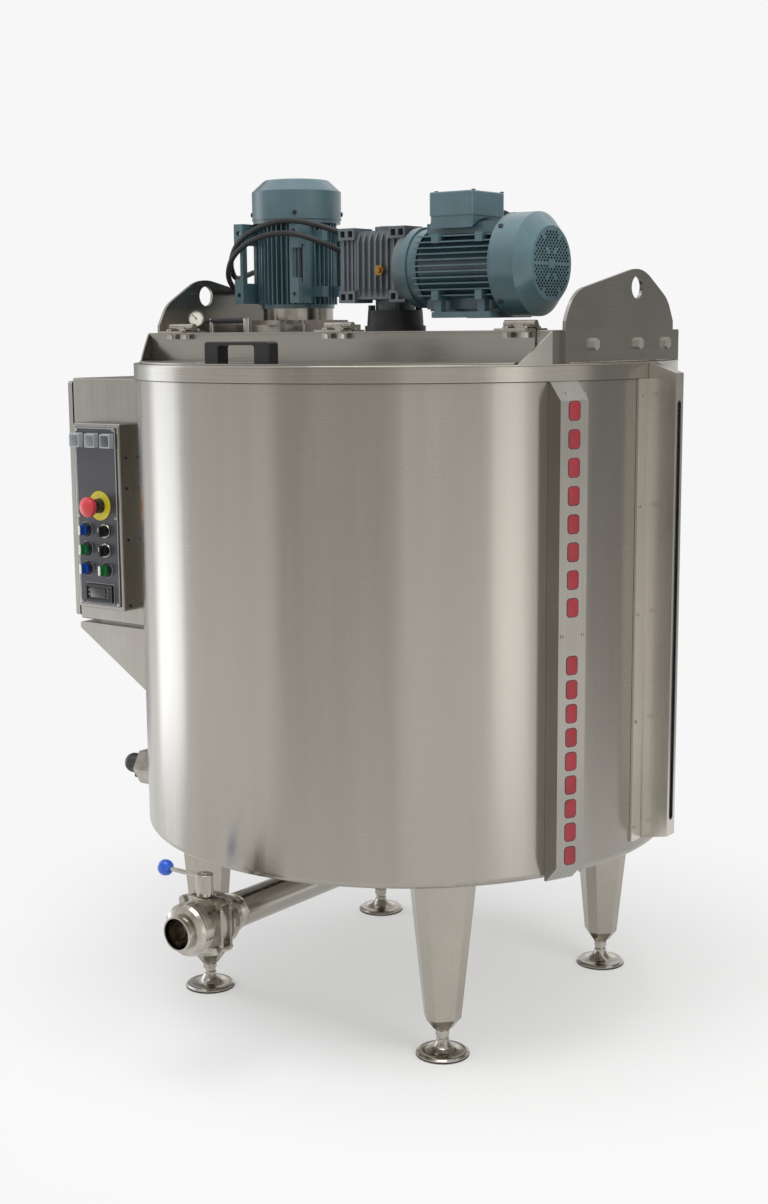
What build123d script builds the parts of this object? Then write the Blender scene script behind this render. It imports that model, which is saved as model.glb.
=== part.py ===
from build123d import *
import math
import os

os.makedirs("parts", exist_ok=True)

# Heated mixing tank, millimetres.
# The origin is on the tank's axis at floor level, +Z is up and -Y is the front.

# Tank body
rim_radius = 500
jacket_radius = 496
jacket_wall = 2
vessel_radius = 443
vessel_wall = 3
sheet = 3
weld_gap = 0.3
floor_to_jacket = 335
rim_bottom = 1168
rim_top = 1195
deck_top = 1250
bridge_front = -216
bridge_half_width = 450
vessel_corner = 430
vessel_sump = 394

# Drain
pipe_radius = 30.15
pipe_wall = 2
drain_height = 270
valve_y = -577
valve_bore = 25
pipe_start = 352
outlet_face = -648
weld_end = -503

# Lid
lid_radius = 490
lid_half_width = 420
lid_bottom = rim_top + 1
hinge_y = -215
hinge_z = 1260
hinge_x = (-360, 15, 390)
hinge_width = 60
pin_radius = 3
running_gap = 0.05

# Legs and feet
foot_offset = 275
pad_radius = 46.9
leg_bottom = 70
stem_radius = 10

# Control cabinet
cabinet_front = -125
cabinet_back = 175
cabinet_end = -760
cabinet_bottom = 657
cabinet_top = 1160
door_thickness = 12
door_gap = 4
panel_x = -661
panel_z = 880.5
panel_width = 132
panel_height = 381
panel_front = -163

# Drives
mixer_x = -298
mixer_y = 50
agitator_y = -30
worm_y = -80
worm_z = 1360
motor_radius = 87
cowl_wall = 1.5
cable_radius = 5.25



def dome_middle(base, radius, tip):
    """Middle point of a dome's profile whose centre lies on the axis."""
    height = abs(tip - base)
    sphere = (radius**2 + height**2) / (2 * height)
    sign = 1 if tip > base else -1
    half = math.asin(radius / sphere) / 2
    return (tip - sign * sphere * (1 - math.cos(half)), sphere * math.sin(half))


# Outer jacket: a shell with a flat bottom, open round the outlet and at the heater socket
outlet_hole = 33
heater_y = -185
heater_z = 385
heater_socket = 22
with BuildPart() as outer_jacket:
    with BuildSketch(Plane.XZ):
        with BuildLine():
            Polyline(
                (outlet_hole, floor_to_jacket),
                (jacket_radius, floor_to_jacket),
                (jacket_radius, rim_top - sheet),
                (jacket_radius - jacket_wall, rim_top - sheet),
                (jacket_radius - jacket_wall, floor_to_jacket + jacket_wall),
                (outlet_hole, floor_to_jacket + jacket_wall),
                close=True,
            )
        make_face()
    revolve(axis=Axis.Z)
    rings = outer_jacket.edges().filter_by(GeomType.CIRCLE)
    outer_bend = rings.group_by(Axis.Z)[0].sort_by(SortBy.RADIUS)[-1]
    inner_bend = rings.group_by(Axis.Z)[1].sort_by(SortBy.RADIUS)[-1]
    fillet(outer_bend, radius=12)
    fillet(inner_bend, radius=12 - jacket_wall)
    with BuildSketch(Plane.YZ.offset(-jacket_radius - 5)):
        with Locations((heater_y, heater_z)):
            Circle(heater_socket)
    extrude(amount=60, mode=Mode.SUBTRACT)
outer_jacket.part.label = "outer_jacket"
export_step(outer_jacket.part, "parts/outer_jacket.step")

# Inner vessel: straight wall, dished cone and the neck of the outlet
with BuildPart() as inner_vessel:
    with BuildSketch(Plane.XZ):
        with BuildLine():
            Polyline(
                (vessel_radius, rim_top - sheet),
                (vessel_radius, vessel_corner),
                (pipe_radius, vessel_sump),
                (pipe_radius, pipe_start),
                (pipe_radius - pipe_wall, pipe_start),
                (pipe_radius - pipe_wall, vessel_sump + vessel_wall),
                (vessel_radius - vessel_wall, vessel_corner + vessel_wall),
                (vessel_radius - vessel_wall, rim_top - sheet),
                close=True,
            )
        make_face()
    revolve(axis=Axis.Z)
    circles = inner_vessel.edges().filter_by(GeomType.CIRCLE)
    low_circles = circles.filter_by(lambda e: e.arc_center.Z < vessel_corner + 1)
    knuckle = low_circles.filter_by(lambda e: e.radius > vessel_radius - 1)
    fillet(knuckle, radius=45)
    inner_circles = inner_vessel.edges().filter_by(GeomType.CIRCLE)
    inner_corner = inner_circles.filter_by(lambda e: abs(e.arc_center.Z - vessel_corner - vessel_wall) < 1)
    inner_knuckle = inner_corner.filter_by(lambda e: abs(e.radius - vessel_radius + vessel_wall) < 0.5)
    fillet(inner_knuckle, radius=42)
inner_vessel.part.label = "inner_vessel"
export_step(inner_vessel.part, "parts/inner_vessel.step")

# Rim: a band round the jacket with the flange that closes the gap to the vessel
with BuildPart() as rim_band:
    with BuildSketch(Plane.XZ):
        with BuildLine():
            Polyline(
                (jacket_radius + weld_gap, rim_bottom),
                (rim_radius, rim_bottom),
                (rim_radius, rim_top),
                (vessel_radius - vessel_wall, rim_top),
                (vessel_radius - vessel_wall, rim_top - sheet),
                (jacket_radius + weld_gap, rim_top - sheet),
                close=True,
            )
        make_face()
    revolve(axis=Axis.Z)
    top_ring = rim_band.edges().filter_by(GeomType.CIRCLE).group_by(Axis.Z)[-1].sort_by(SortBy.RADIUS)[-1]
    fillet(top_ring, radius=2.5)
rim_band.part.label = "rim_band"
export_step(rim_band.part, "parts/rim_band.step")

# Bridge: the raised half that carries the drives, folded from sheet and open below
deck_depth = rim_radius - bridge_front
shaft_hole = 30
gusset_front = -270
with BuildPart() as bridge_deck:
    with BuildSketch(Plane.XY.offset(rim_top)):
        Circle(rim_radius)
        with Locations((0, bridge_front + deck_depth / 2)):
            Rectangle(2 * bridge_half_width, deck_depth, mode=Mode.INTERSECT)
    extrude(amount=deck_top - rim_top)
    fillet(bridge_deck.edges().group_by(Axis.Z)[-1], radius=2.5)
    with BuildSketch(Plane.XY.offset(rim_top)):
        Circle(rim_radius - sheet)
        with Locations((0, bridge_front + sheet + deck_depth / 2)):
            Rectangle(2 * (bridge_half_width - sheet), deck_depth, mode=Mode.INTERSECT)
    extrude(amount=deck_top - rim_top - sheet, mode=Mode.SUBTRACT)
    with BuildSketch(Plane.XY.offset(rim_top)):
        with Locations((mixer_x, mixer_y), (0, agitator_y)):
            Circle(shaft_hole)
    extrude(amount=deck_top - rim_top, mode=Mode.SUBTRACT)
with BuildPart() as gussets:
    with BuildSketch(Plane.XY.offset(rim_top)):
        Circle(rim_radius)
        Circle(rim_radius - sheet, mode=Mode.SUBTRACT)
    extrude(amount=deck_top - rim_top)
    with BuildSketch(Plane.YZ.offset(-rim_radius)):
        with BuildLine():
            Polyline(
                (gusset_front, rim_top),
                (bridge_front, rim_top),
                (bridge_front, deck_top - 2),
                close=True,
            )
        make_face()
    extrude(amount=2 * rim_radius, mode=Mode.INTERSECT)
with BuildPart() as bridge:
    add(bridge_deck.part)
    add(gussets.part)
    with BuildSketch(Plane.YZ.offset(bridge_half_width - 10)):
        with Locations((-95, 1226), (56, 1226), (156, 1226)):
            Circle(6.5)
    extrude(amount=20, mode=Mode.SUBTRACT)
    with BuildSketch(Plane.YZ.offset(-bridge_half_width - 10)):
        with Locations((95, 1226), (-56, 1226), (-156, 1226)):
            Circle(6.5)
    extrude(amount=20, mode=Mode.SUBTRACT)
    with BuildSketch(Plane.XY.offset(deck_top - 1)):
        with Locations((-86, 104)):
            Circle(10)
    extrude(amount=15)
bridge.part.label = "bridge_deck"
export_step(bridge.part, "parts/bridge_deck.step")

# Lid: flat D-shaped panel with an upright rear wall and a narrow top flange
flange_depth = 26
bolt_hole = 4.3
with BuildPart() as lid:
    with BuildSketch(Plane.XY.offset(lid_bottom)):
        Circle(lid_radius)
        with Locations((0, (bridge_front - 1 - lid_radius) / 2)):
            Rectangle(2 * lid_half_width, lid_radius + bridge_front + 1, mode=Mode.INTERSECT)
    extrude(amount=sheet)
    with BuildSketch(Plane.YZ.offset(-lid_half_width)):
        with BuildLine():
            Polyline(
                (bridge_front - 1, lid_bottom),
                (bridge_front - 1, deck_top),
                (bridge_front - 1 - flange_depth, deck_top),
                (bridge_front - 1 - flange_depth, deck_top - 2.5),
                (bridge_front - 1 - sheet, deck_top - 2.5),
                (bridge_front - 1 - sheet, lid_bottom),
                close=True,
            )
        make_face()
    extrude(amount=2 * lid_half_width)
    with BuildSketch(Plane.XY.offset(deck_top - 5)):
        for x in hinge_x:
            with Locations((x, hinge_y - 17)):
                with GridLocations(36, 1, 2, 1):
                    Circle(bolt_hole)
    extrude(amount=10, mode=Mode.SUBTRACT)
lid.part.label = "lid"
export_step(lid.part, "parts/lid.step")

# Lid handle: a moulded bow on two broad posts
handle_y = -458
handle_length = 142
handle_height = 36
with BuildPart() as lid_handle:
    with BuildSketch(Plane.XZ.offset(-handle_y - 13)):
        with Locations((0, lid_bottom + sheet + handle_height / 2)):
            RectangleRounded(handle_length, handle_height, 6)
        with Locations((0, lid_bottom + sheet + handle_height / 2 - 4)):
            RectangleRounded(handle_length - 62, handle_height - 4, 5, mode=Mode.SUBTRACT)
        with Locations((0, lid_bottom + sheet + 5)):
            Rectangle(handle_length - 62, 10, mode=Mode.SUBTRACT)
        for side in (-1, 1):
            with Locations((side * (handle_length / 2 - 3), lid_bottom + sheet + 3)):
                Rectangle(6, 6)
    extrude(amount=26)
    fillet(lid_handle.edges().filter_by(Axis.X).group_by(Axis.Z)[-1], radius=3)
lid_handle.part.label = "lid_handle"
export_step(lid_handle.part, "parts/lid_handle.step")

# Hinges: the lid's leaves carry the pins, the deck's leaves turn on them
knuckle_radius = 6.5
knuckle_width = 20
leaf_depth = 32
leaf = 3
with BuildPart() as lid_hinge_leaves:
    for x in hinge_x:
        with BuildSketch(Plane.XY.offset(deck_top)):
            with Locations((x, hinge_y - 2 - leaf_depth / 2)):
                Rectangle(hinge_width, leaf_depth)
        extrude(amount=leaf)
        with BuildSketch(Plane.YZ.offset(x - knuckle_width / 2 + weld_gap)):
            with Locations((hinge_y, hinge_z)):
                Circle(knuckle_radius)
            with Locations((hinge_y - 5, hinge_z - 5)):
                Rectangle(6, 10)
        extrude(amount=knuckle_width - 2 * weld_gap)
        with BuildSketch(Plane.YZ.offset(x - hinge_width / 2)):
            with Locations((hinge_y, hinge_z)):
                Circle(pin_radius)
        extrude(amount=hinge_width)
        with BuildSketch(Plane.XY.offset(deck_top - 8)):
            with Locations((x, hinge_y - 17)):
                with GridLocations(36, 1, 2, 1):
                    Circle(bolt_hole - 0.3)
        extrude(amount=8)
        with BuildSketch(Plane.XY.offset(deck_top - 12)):
            with Locations((x, hinge_y - 17)):
                with GridLocations(36, 1, 2, 1):
                    RegularPolygon(6.5, 6)
        extrude(amount=8)
        with BuildSketch(Plane.XY.offset(deck_top + leaf)):
            with Locations((x, hinge_y - 17)):
                with GridLocations(36, 1, 2, 1):
                    Circle(6)
        extrude(amount=2.5)
lid_hinge_leaves.part.label = "lid_hinge_leaves"
export_step(lid_hinge_leaves.part, "parts/lid_hinge_leaves.step")

with BuildPart() as deck_hinge_leaves:
    for x in hinge_x:
        with BuildSketch(Plane.XY.offset(deck_top)):
            with Locations((x, hinge_y + leaf_depth / 2 + 1)):
                Rectangle(hinge_width, leaf_depth)
        extrude(amount=leaf)
        for side in (-1, 1):
            with BuildSketch(Plane.YZ.offset(x + side * knuckle_width - knuckle_width / 2)):
                with Locations((hinge_y, hinge_z)):
                    Circle(knuckle_radius)
                with Locations((hinge_y + 5, hinge_z - 5)):
                    Rectangle(6, 10)
                with Locations((hinge_y, hinge_z)):
                    Circle(pin_radius + running_gap, mode=Mode.SUBTRACT)
            extrude(amount=knuckle_width)
        with BuildSketch(Plane.XY.offset(deck_top + leaf)):
            with Locations((x, hinge_y + 22)):
                with GridLocations(36, 1, 2, 1):
                    Circle(6)
        extrude(amount=2.5)
deck_hinge_leaves.part.label = "deck_hinge_leaves"
export_step(deck_hinge_leaves.part, "parts/deck_hinge_leaves.step")

# Lifting lugs: a plate on each flat side of the bridge, with the eye off centre
lug_thickness = 6
lug_half = 184
lug_eye_y = 51
lug_eye_z = 1321
lug_eye_radius = 19
lug_arcs = ((50, 1254, 98), (-110, 1245, 75), (117, 1257, 62))
lug_bolt_y = (-95, 56, 156)
lug_bolt_z = 1226
with BuildPart() as lug_plates:
    for side in (-1, 1):
        inner_face = bridge_half_width if side > 0 else -bridge_half_width - lug_thickness
        with BuildSketch(Plane.YZ.offset(inner_face)):
            with Locations((0, (rim_top + 1264) / 2)):
                Rectangle(2 * lug_half, 1264 - rim_top)
            for y, z, radius in lug_arcs:
                with Locations((side * y, z)):
                    Circle(radius)
            make_hull()
            with Locations((0, rim_top - 60)):
                Rectangle(3 * lug_half, 120, mode=Mode.SUBTRACT)
            with Locations((side * lug_eye_y, lug_eye_z)):
                Circle(lug_eye_radius, mode=Mode.SUBTRACT)
            for y in lug_bolt_y:
                with Locations((side * y, lug_bolt_z)):
                    Circle(6.5, mode=Mode.SUBTRACT)
        extrude(amount=lug_thickness)
lug_plates.part.label = "lug_plates"
export_step(lug_plates.part, "parts/lug_plates.step")

with BuildPart() as lug_bolts:
    for side in (-1, 1):
        outer = bridge_half_width + lug_thickness
        for y in lug_bolt_y:
            with BuildSketch(Plane(origin=(side * outer, side * y, lug_bolt_z), z_dir=(side, 0, 0))):
                RegularPolygon(10.5, 6)
            extrude(amount=7)
            with BuildSketch(Plane(origin=(side * outer, side * y, lug_bolt_z), z_dir=(-side, 0, 0))):
                Circle(6)
            extrude(amount=20)
            nut_face = (side * (bridge_half_width - sheet), side * y, lug_bolt_z)
            with BuildSketch(Plane(origin=nut_face, z_dir=(-side, 0, 0))):
                RegularPolygon(10, 6)
            extrude(amount=8)
lug_bolts.part.label = "lug_bolts"
export_step(lug_bolts.part, "parts/lug_bolts.step")

# Legs: tapered folded boxes with chamfered corners, closing in to the foot's stem
corners = ((1, -1), (-1, -1), (1, 1), (-1, 1))
with BuildPart() as legs:
    for sx, sy in corners:
        turn = Plane(origin=(sx * foot_offset, sy * foot_offset, 0), x_dir=(sx, sy, 0), z_dir=(0, 0, 1))
        with BuildSketch(turn.offset(floor_to_jacket)):
            Rectangle(100, 111)
            chamfer(vertices(), length=20)
        with BuildSketch(turn.offset(leg_bottom)):
            Rectangle(56, 61)
            chamfer(vertices(), length=14)
        loft(ruled=True)
        with BuildSketch(turn.offset(leg_bottom)):
            Rectangle(56, 61)
            chamfer(vertices(), length=14)
        with BuildSketch(turn.offset(leg_bottom - 20)):
            Rectangle(30, 32)
            chamfer(vertices(), length=8)
        loft(ruled=True)
        with BuildSketch(turn.offset(leg_bottom - 20)):
            Circle(stem_radius + running_gap)
        extrude(amount=110, mode=Mode.SUBTRACT)
legs.part.label = "legs"
export_step(legs.part, "parts/legs.step")

# Levelling feet: a polished bell-shaped pad on a threaded stem with a hexagon
foot_names = ("foot_front_right", "foot_front_left", "foot_rear_right", "foot_rear_left")
for (sx, sy), foot_name in zip(corners, foot_names):
    foot_plane = Plane(origin=(sx * foot_offset, sy * foot_offset, 0), x_dir=(1, 0, 0), z_dir=(0, -1, 0))
    with BuildPart() as foot:
        with BuildSketch(foot_plane):
            with BuildLine():
                Polyline(
                    (0, 0),
                    (pad_radius, 0),
                    (pad_radius, 5),
                    (pad_radius - 3, 7.5),
                    (pad_radius - 6, 8.5),
                )
                ThreePointArc((pad_radius - 6, 8.5), (20, 14.5), (11.5, 26))
                Polyline((11.5, 26), (11.5, 30), (stem_radius, 32), (stem_radius, 135), (0, 135), (0, 0))
            make_face()
        revolve(axis=Axis((sx * foot_offset, sy * foot_offset, 0), (0, 0, 1)))
        with BuildSketch(Plane(origin=(sx * foot_offset, sy * foot_offset, 37), z_dir=(0, 0, 1))):
            RegularPolygon(13.5, 6)
        extrude(amount=9)
    foot.part.label = foot_name
    export_step(foot.part, f"parts/{foot_name}.step")

# Drain pipe: down from the vessel's neck, round an elbow and out to the front
elbow_radius = 62
with BuildPart() as drain_pipe:
    with BuildLine():
        FilletPolyline(
            (0, 0, pipe_start),
            (0, 0, drain_height),
            (0, weld_end, drain_height),
            radius=elbow_radius,
        )
    with BuildSketch(Plane.XY.offset(pipe_start)):
        Circle(pipe_radius)
        Circle(pipe_radius - pipe_wall, mode=Mode.SUBTRACT)
    sweep()
drain_pipe.part.label = "drain_pipe"
export_step(drain_pipe.part, "parts/drain_pipe.step")

# Butterfly valve: two flanged halves clamp a seal ring that carries the disc's spindle
seal_front = -585
seal_back = -569
flange_half = 47
bolt_pitch_x = 72
bolt_pitch_z = 76
valve_axis = Axis((0, valve_y, drain_height), (0, 1, 0))
with BuildPart() as valve_body_front:
    with BuildSketch(Plane.YZ):
        with BuildLine():
            Polyline(
                (outlet_face, drain_height + valve_bore + 1.5),
                (outlet_face, drain_height + 29),
                (outlet_face + 1, drain_height + 30),
                (-634, drain_height + 30),
                (-634, drain_height + 34),
                (-630, drain_height + 42),
                (-624, drain_height + 45),
                (-606, drain_height + 45),
                (-600, drain_height + 40),
                (seal_front, drain_height + 40),
                (seal_front, drain_height + valve_bore),
                (-640, drain_height + valve_bore),
                close=True,
            )
        make_face()
    revolve(axis=valve_axis)
    with BuildSketch(Plane.XZ.offset(-seal_front)):
        with Locations((0, drain_height)):
            RectangleRounded(2 * flange_half, 2 * flange_half, 16)
            Circle(valve_bore, mode=Mode.SUBTRACT)
            with GridLocations(bolt_pitch_x, bolt_pitch_z, 2, 2):
                Circle(4.3, mode=Mode.SUBTRACT)
    extrude(amount=6)
valve_body_front.part.label = "valve_body_front"
export_step(valve_body_front.part, "parts/valve_body_front.step")

with BuildPart() as valve_body_rear:
    with BuildSketch(Plane.YZ):
        with BuildLine():
            Polyline(
                (seal_back, drain_height + valve_bore),
                (seal_back, drain_height + 40),
                (-556, drain_height + 40),
                (-553, drain_height + 45),
                (-541, drain_height + 45),
                (-538, drain_height + 41),
                (-524, drain_height + 37),
                (-514, drain_height + 33.5),
                (weld_end, drain_height + pipe_radius),
                (weld_end, drain_height + pipe_radius - pipe_wall),
                (-514, drain_height + valve_bore),
                close=True,
            )
        make_face()
    revolve(axis=valve_axis)
    with BuildSketch(Plane.XZ.offset(-seal_back)):
        with Locations((0, drain_height)):
            RectangleRounded(2 * flange_half, 2 * flange_half, 16)
            Circle(valve_bore, mode=Mode.SUBTRACT)
            with GridLocations(bolt_pitch_x, bolt_pitch_z, 2, 2):
                Circle(4.3, mode=Mode.SUBTRACT)
    extrude(amount=-6)
valve_body_rear.part.label = "valve_body_rear"
export_step(valve_body_rear.part, "parts/valve_body_rear.step")

spindle_radius = 6
disc_radius = 24.6
with BuildPart() as valve_seal:
    with BuildSketch(Plane.XZ.offset(-seal_front)):
        with Locations((0, drain_height)):
            Circle(42)
            Circle(valve_bore, mode=Mode.SUBTRACT)
            with GridLocations(bolt_pitch_x, bolt_pitch_z, 2, 2):
                Circle(6, mode=Mode.SUBTRACT)
    extrude(amount=seal_front - seal_back)
    with BuildSketch(Plane.XY.offset(drain_height - 38)):
        with Locations((0, valve_y)):
            Circle(spindle_radius + running_gap)
    extrude(amount=90, mode=Mode.SUBTRACT)
valve_seal.part.label = "valve_seal"
export_step(valve_seal.part, "parts/valve_seal.step")

with BuildPart() as valve_bolts:
    for x in (-bolt_pitch_x / 2, bolt_pitch_x / 2):
        for z in (-bolt_pitch_z / 2, bolt_pitch_z / 2):
            with BuildSketch(Plane.XZ.offset(6 - seal_front)):
                with Locations((x, drain_height + z)):
                    RegularPolygon(7.2, 6)
            extrude(amount=5)
            with BuildSketch(Plane.XZ.offset(6 - seal_front)):
                with Locations((x, drain_height + z)):
                    Circle(4)
            extrude(amount=-34)
            with BuildSketch(Plane.XZ.offset(-seal_back - 6)):
                with Locations((x, drain_height + z)):
                    RegularPolygon(7.2, 6)
            extrude(amount=-6)
valve_bolts.part.label = "valve_bolts"
export_step(valve_bolts.part, "parts/valve_bolts.step")

hub_bottom = 319
hub_top = 356
lever_z = 350
lever_end = -84
with BuildPart() as valve_spindle:
    with BuildSketch(Plane.XZ.offset(-valve_y)):
        with Locations((0, drain_height)):
            Circle(disc_radius)
    extrude(amount=1.6, both=True)
    with BuildSketch(Plane.XY.offset(drain_height - 37)):
        with Locations((0, valve_y)):
            Circle(spindle_radius)
    extrude(amount=107)
valve_spindle.part.label = "valve_spindle"
export_step(valve_spindle.part, "parts/valve_spindle.step")

with BuildPart() as valve_lever:
    with BuildSketch(Plane.XY.offset(hub_bottom)):
        with Locations((0, valve_y)):
            Circle(15)
    extrude(amount=hub_top - hub_bottom)
    fillet(valve_lever.edges().group_by(Axis.Z)[-1], radius=2)
    with BuildSketch(Plane.YZ):
        with Locations((valve_y, lever_z)):
            Circle(4)
    extrude(amount=lever_end)
    with BuildSketch(Plane.XY.offset(hub_bottom)):
        with Locations((0, valve_y)):
            Circle(spindle_radius)
    extrude(amount=drain_height + 70 - hub_bottom, mode=Mode.SUBTRACT)
valve_lever.part.label = "valve_lever"
export_step(valve_lever.part, "parts/valve_lever.step")

with BuildPart() as valve_knob:
    with Locations((-90, valve_y, lever_z)):
        Sphere(14)
    with BuildSketch(Plane.YZ.offset(lever_end)):
        with Locations((valve_y, lever_z)):
            Circle(4)
    extrude(amount=20, mode=Mode.SUBTRACT)
valve_knob.part.label = "valve_knob"
export_step(valve_knob.part, "parts/valve_knob.step")

# Control cabinet: sheet box trimmed to the jacket, open at its end for the door
cabinet_depth = cabinet_back - cabinet_front
cabinet_mid = (cabinet_back + cabinet_front) / 2
cabinet_height = cabinet_top - cabinet_bottom
back_panel = -508
door_hinge_x = -771
door_hinge_y = 168
with BuildPart() as control_cabinet:
    with BuildSketch(Plane.YZ.offset(cabinet_end)):
        with Locations((cabinet_mid, (cabinet_top + cabinet_bottom) / 2)):
            RectangleRounded(cabinet_depth, cabinet_height, 4)
    extrude(amount=340)
    with BuildSketch(Plane.YZ.offset(cabinet_end)):
        with Locations((cabinet_mid, (cabinet_top + cabinet_bottom) / 2)):
            RectangleRounded(cabinet_depth - 4, cabinet_height - 4, 2)
    extrude(amount=back_panel - cabinet_end, mode=Mode.SUBTRACT)
    with BuildSketch(Plane.YZ.offset(back_panel + 2)):
        with Locations((cabinet_mid, (cabinet_top + cabinet_bottom) / 2)):
            RectangleRounded(cabinet_depth - 4, cabinet_height - 4, 2)
    extrude(amount=120, mode=Mode.SUBTRACT)
    with BuildSketch(Plane.XY.offset(cabinet_bottom - 1)):
        Circle(jacket_radius + weld_gap)
    extrude(amount=cabinet_height + 2, mode=Mode.SUBTRACT)
    for z, up in ((cabinet_bottom, 1), (cabinet_top, -1)):
        tab_plane = Plane(origin=(0, 0, z), x_dir=(1, 0, 0), z_dir=(0, 0, up))
        with BuildSketch(tab_plane):
            with Locations(((cabinet_end + door_hinge_x - 6) / 2 + 5, up * (door_hinge_y - 6))):
                Rectangle(abs(door_hinge_x - 6 - cabinet_end) + 10, 24)
        extrude(amount=2)
        with BuildSketch(tab_plane):
            with Locations((door_hinge_x, up * door_hinge_y)):
                Circle(3)
        extrude(amount=14)
control_cabinet.part.label = "control_cabinet"
export_step(control_cabinet.part, "parts/control_cabinet.step")

door_bottom = 663
door_height = 490
with BuildPart() as cabinet_door:
    with BuildSketch(Plane.YZ.offset(cabinet_end - door_gap)):
        with Locations((cabinet_mid, door_bottom + door_height / 2)):
            RectangleRounded(cabinet_depth, door_height, 6)
    extrude(amount=-door_thickness)
    with BuildSketch(Plane.YZ.offset(cabinet_end - door_gap)):
        with Locations((cabinet_mid - 8, door_bottom + door_height / 2)):
            RectangleRounded(cabinet_depth - 24, door_height - 10, 4)
    extrude(amount=2 - door_thickness, mode=Mode.SUBTRACT)
    for z, up in ((door_bottom, 1), (door_bottom + door_height, -1)):
        with BuildSketch(Plane(origin=(0, 0, z), x_dir=(1, 0, 0), z_dir=(0, 0, up))):
            with Locations((door_hinge_x, up * door_hinge_y)):
                Circle(3 + running_gap)
        extrude(amount=12, mode=Mode.SUBTRACT)
cabinet_door.part.label = "cabinet_door"
export_step(cabinet_door.part, "parts/cabinet_door.step")

# Bracket under the cabinet: a sloping sheet wedge with a short spacer on top
with BuildPart() as cabinet_bracket:
    with BuildSketch(Plane.XZ.offset(-cabinet_back)):
        with BuildLine():
            Polyline((-764, 650), (-440, 650), (-440, 438), (-764, 637), close=True)
        make_face()
    extrude(amount=cabinet_depth)
    fillet(cabinet_bracket.edges().filter_by(Axis.Y).group_by(Axis.X)[0], radius=5)
    with BuildSketch(Plane.XZ.offset(-cabinet_back + 2)):
        with BuildLine():
            Polyline((-750, 648), (-440, 648), (-440, 440.5), (-750, 631), close=True)
        make_face()
    extrude(amount=cabinet_depth - 4, mode=Mode.SUBTRACT)
    with BuildSketch(Plane.XY.offset(650)):
        with Locations((-610, cabinet_mid)):
            Rectangle(220, cabinet_depth - 30)
            Rectangle(200, cabinet_depth - 50, mode=Mode.SUBTRACT)
    extrude(amount=cabinet_bottom - 650)
    with BuildSketch(Plane.XY.offset(400)):
        Circle(jacket_radius + weld_gap)
    extrude(amount=300, mode=Mode.SUBTRACT)
cabinet_bracket.part.label = "cabinet_bracket"
export_step(cabinet_bracket.part, "parts/cabinet_bracket.step")

# Operator panel: housing, face plate and everything on it
face_back = panel_front + 2
button_x = (-695, -640)
button_z = (853, 813, 773)
estop_x = -653
estop_z = 904
lamp_x = (-711, -667, -623)
lamp_z = 1036
selector_stem = 6
estop_stem = 8
thermo_x = -661.5
thermo_z = 723.5
with BuildPart() as panel_housing:
    with BuildSketch(Plane.XZ.offset(-cabinet_front)):
        with Locations((panel_x, panel_z)):
            RectangleRounded(panel_width, panel_height, 5)
    extrude(amount=cabinet_front - face_back)
    fillet(panel_housing.faces().sort_by(Axis.Y)[0].edges(), radius=4)
    with BuildSketch(Plane.XZ.offset(-cabinet_front)):
        with Locations((panel_x, panel_z)):
            Rectangle(panel_width - 6, panel_height - 6)
    extrude(amount=cabinet_front - face_back - 2.5, mode=Mode.SUBTRACT)
    with BuildSketch(Plane.XZ.offset(-cabinet_front)):
        with Locations((panel_x, panel_z)):
            Rectangle(panel_width - 32, panel_height - 32)
    extrude(amount=cabinet_front - face_back, mode=Mode.SUBTRACT)
panel_housing.part.label = "panel_housing"
export_step(panel_housing.part, "parts/panel_housing.step")

with BuildPart() as panel_face:
    with BuildSketch(Plane.XZ.offset(-face_back)):
        with Locations((panel_x, panel_z)):
            RectangleRounded(panel_width - 16, panel_height - 16, 3)
        for x in button_x:
            for z in button_z:
                with Locations((x, z)):
                    Circle(selector_stem + running_gap, mode=Mode.SUBTRACT)
        with Locations((estop_x, estop_z)):
            Circle(estop_stem + running_gap, mode=Mode.SUBTRACT)
    extrude(amount=2)
panel_face.part.label = "panel_face"
export_step(panel_face.part, "parts/panel_face.step")

with BuildPart() as signal_lamps:
    for x in lamp_x:
        with BuildSketch(Plane.XZ.offset(-panel_front)):
            with Locations((x, lamp_z)):
                RectangleRounded(30, 30, 2)
        extrude(amount=12, taper=6)
signal_lamps.part.label = "signal_lamps"
export_step(signal_lamps.part, "parts/signal_lamps.step")

with BuildPart() as estop_collar:
    with BuildSketch(Plane.XZ.offset(-panel_front)):
        with Locations((estop_x, estop_z)):
            Circle(30)
    extrude(amount=2)
    with BuildSketch(Plane.XZ.offset(-panel_front)):
        with Locations((estop_x, estop_z)):
            Circle(14.5)
    extrude(amount=18)
    with BuildSketch(Plane.XZ.offset(-panel_front)):
        with Locations((estop_x, estop_z)):
            Circle(estop_stem + running_gap)
    extrude(amount=20, mode=Mode.SUBTRACT)
estop_collar.part.label = "estop_collar"
export_step(estop_collar.part, "parts/estop_collar.step")

estop_front = -211
with BuildPart() as estop_button:
    with BuildSketch(Plane(origin=(estop_x, 0, estop_z), x_dir=(0, 1, 0), z_dir=(1, 0, 0))):
        with BuildLine():
            Polyline((-150, 0), (-150, estop_stem), (-190, estop_stem), (-190, 18), (-192, 20), (-201, 20))
            ThreePointArc((-201, 20), dome_middle(-201, 20, estop_front), (estop_front, 0))
            Line((estop_front, 0), (-150, 0))
        make_face()
    revolve(axis=Axis((estop_x, 0, estop_z), (0, 1, 0)))
estop_button.part.label = "estop_button"
export_step(estop_button.part, "parts/estop_button.step")

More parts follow.
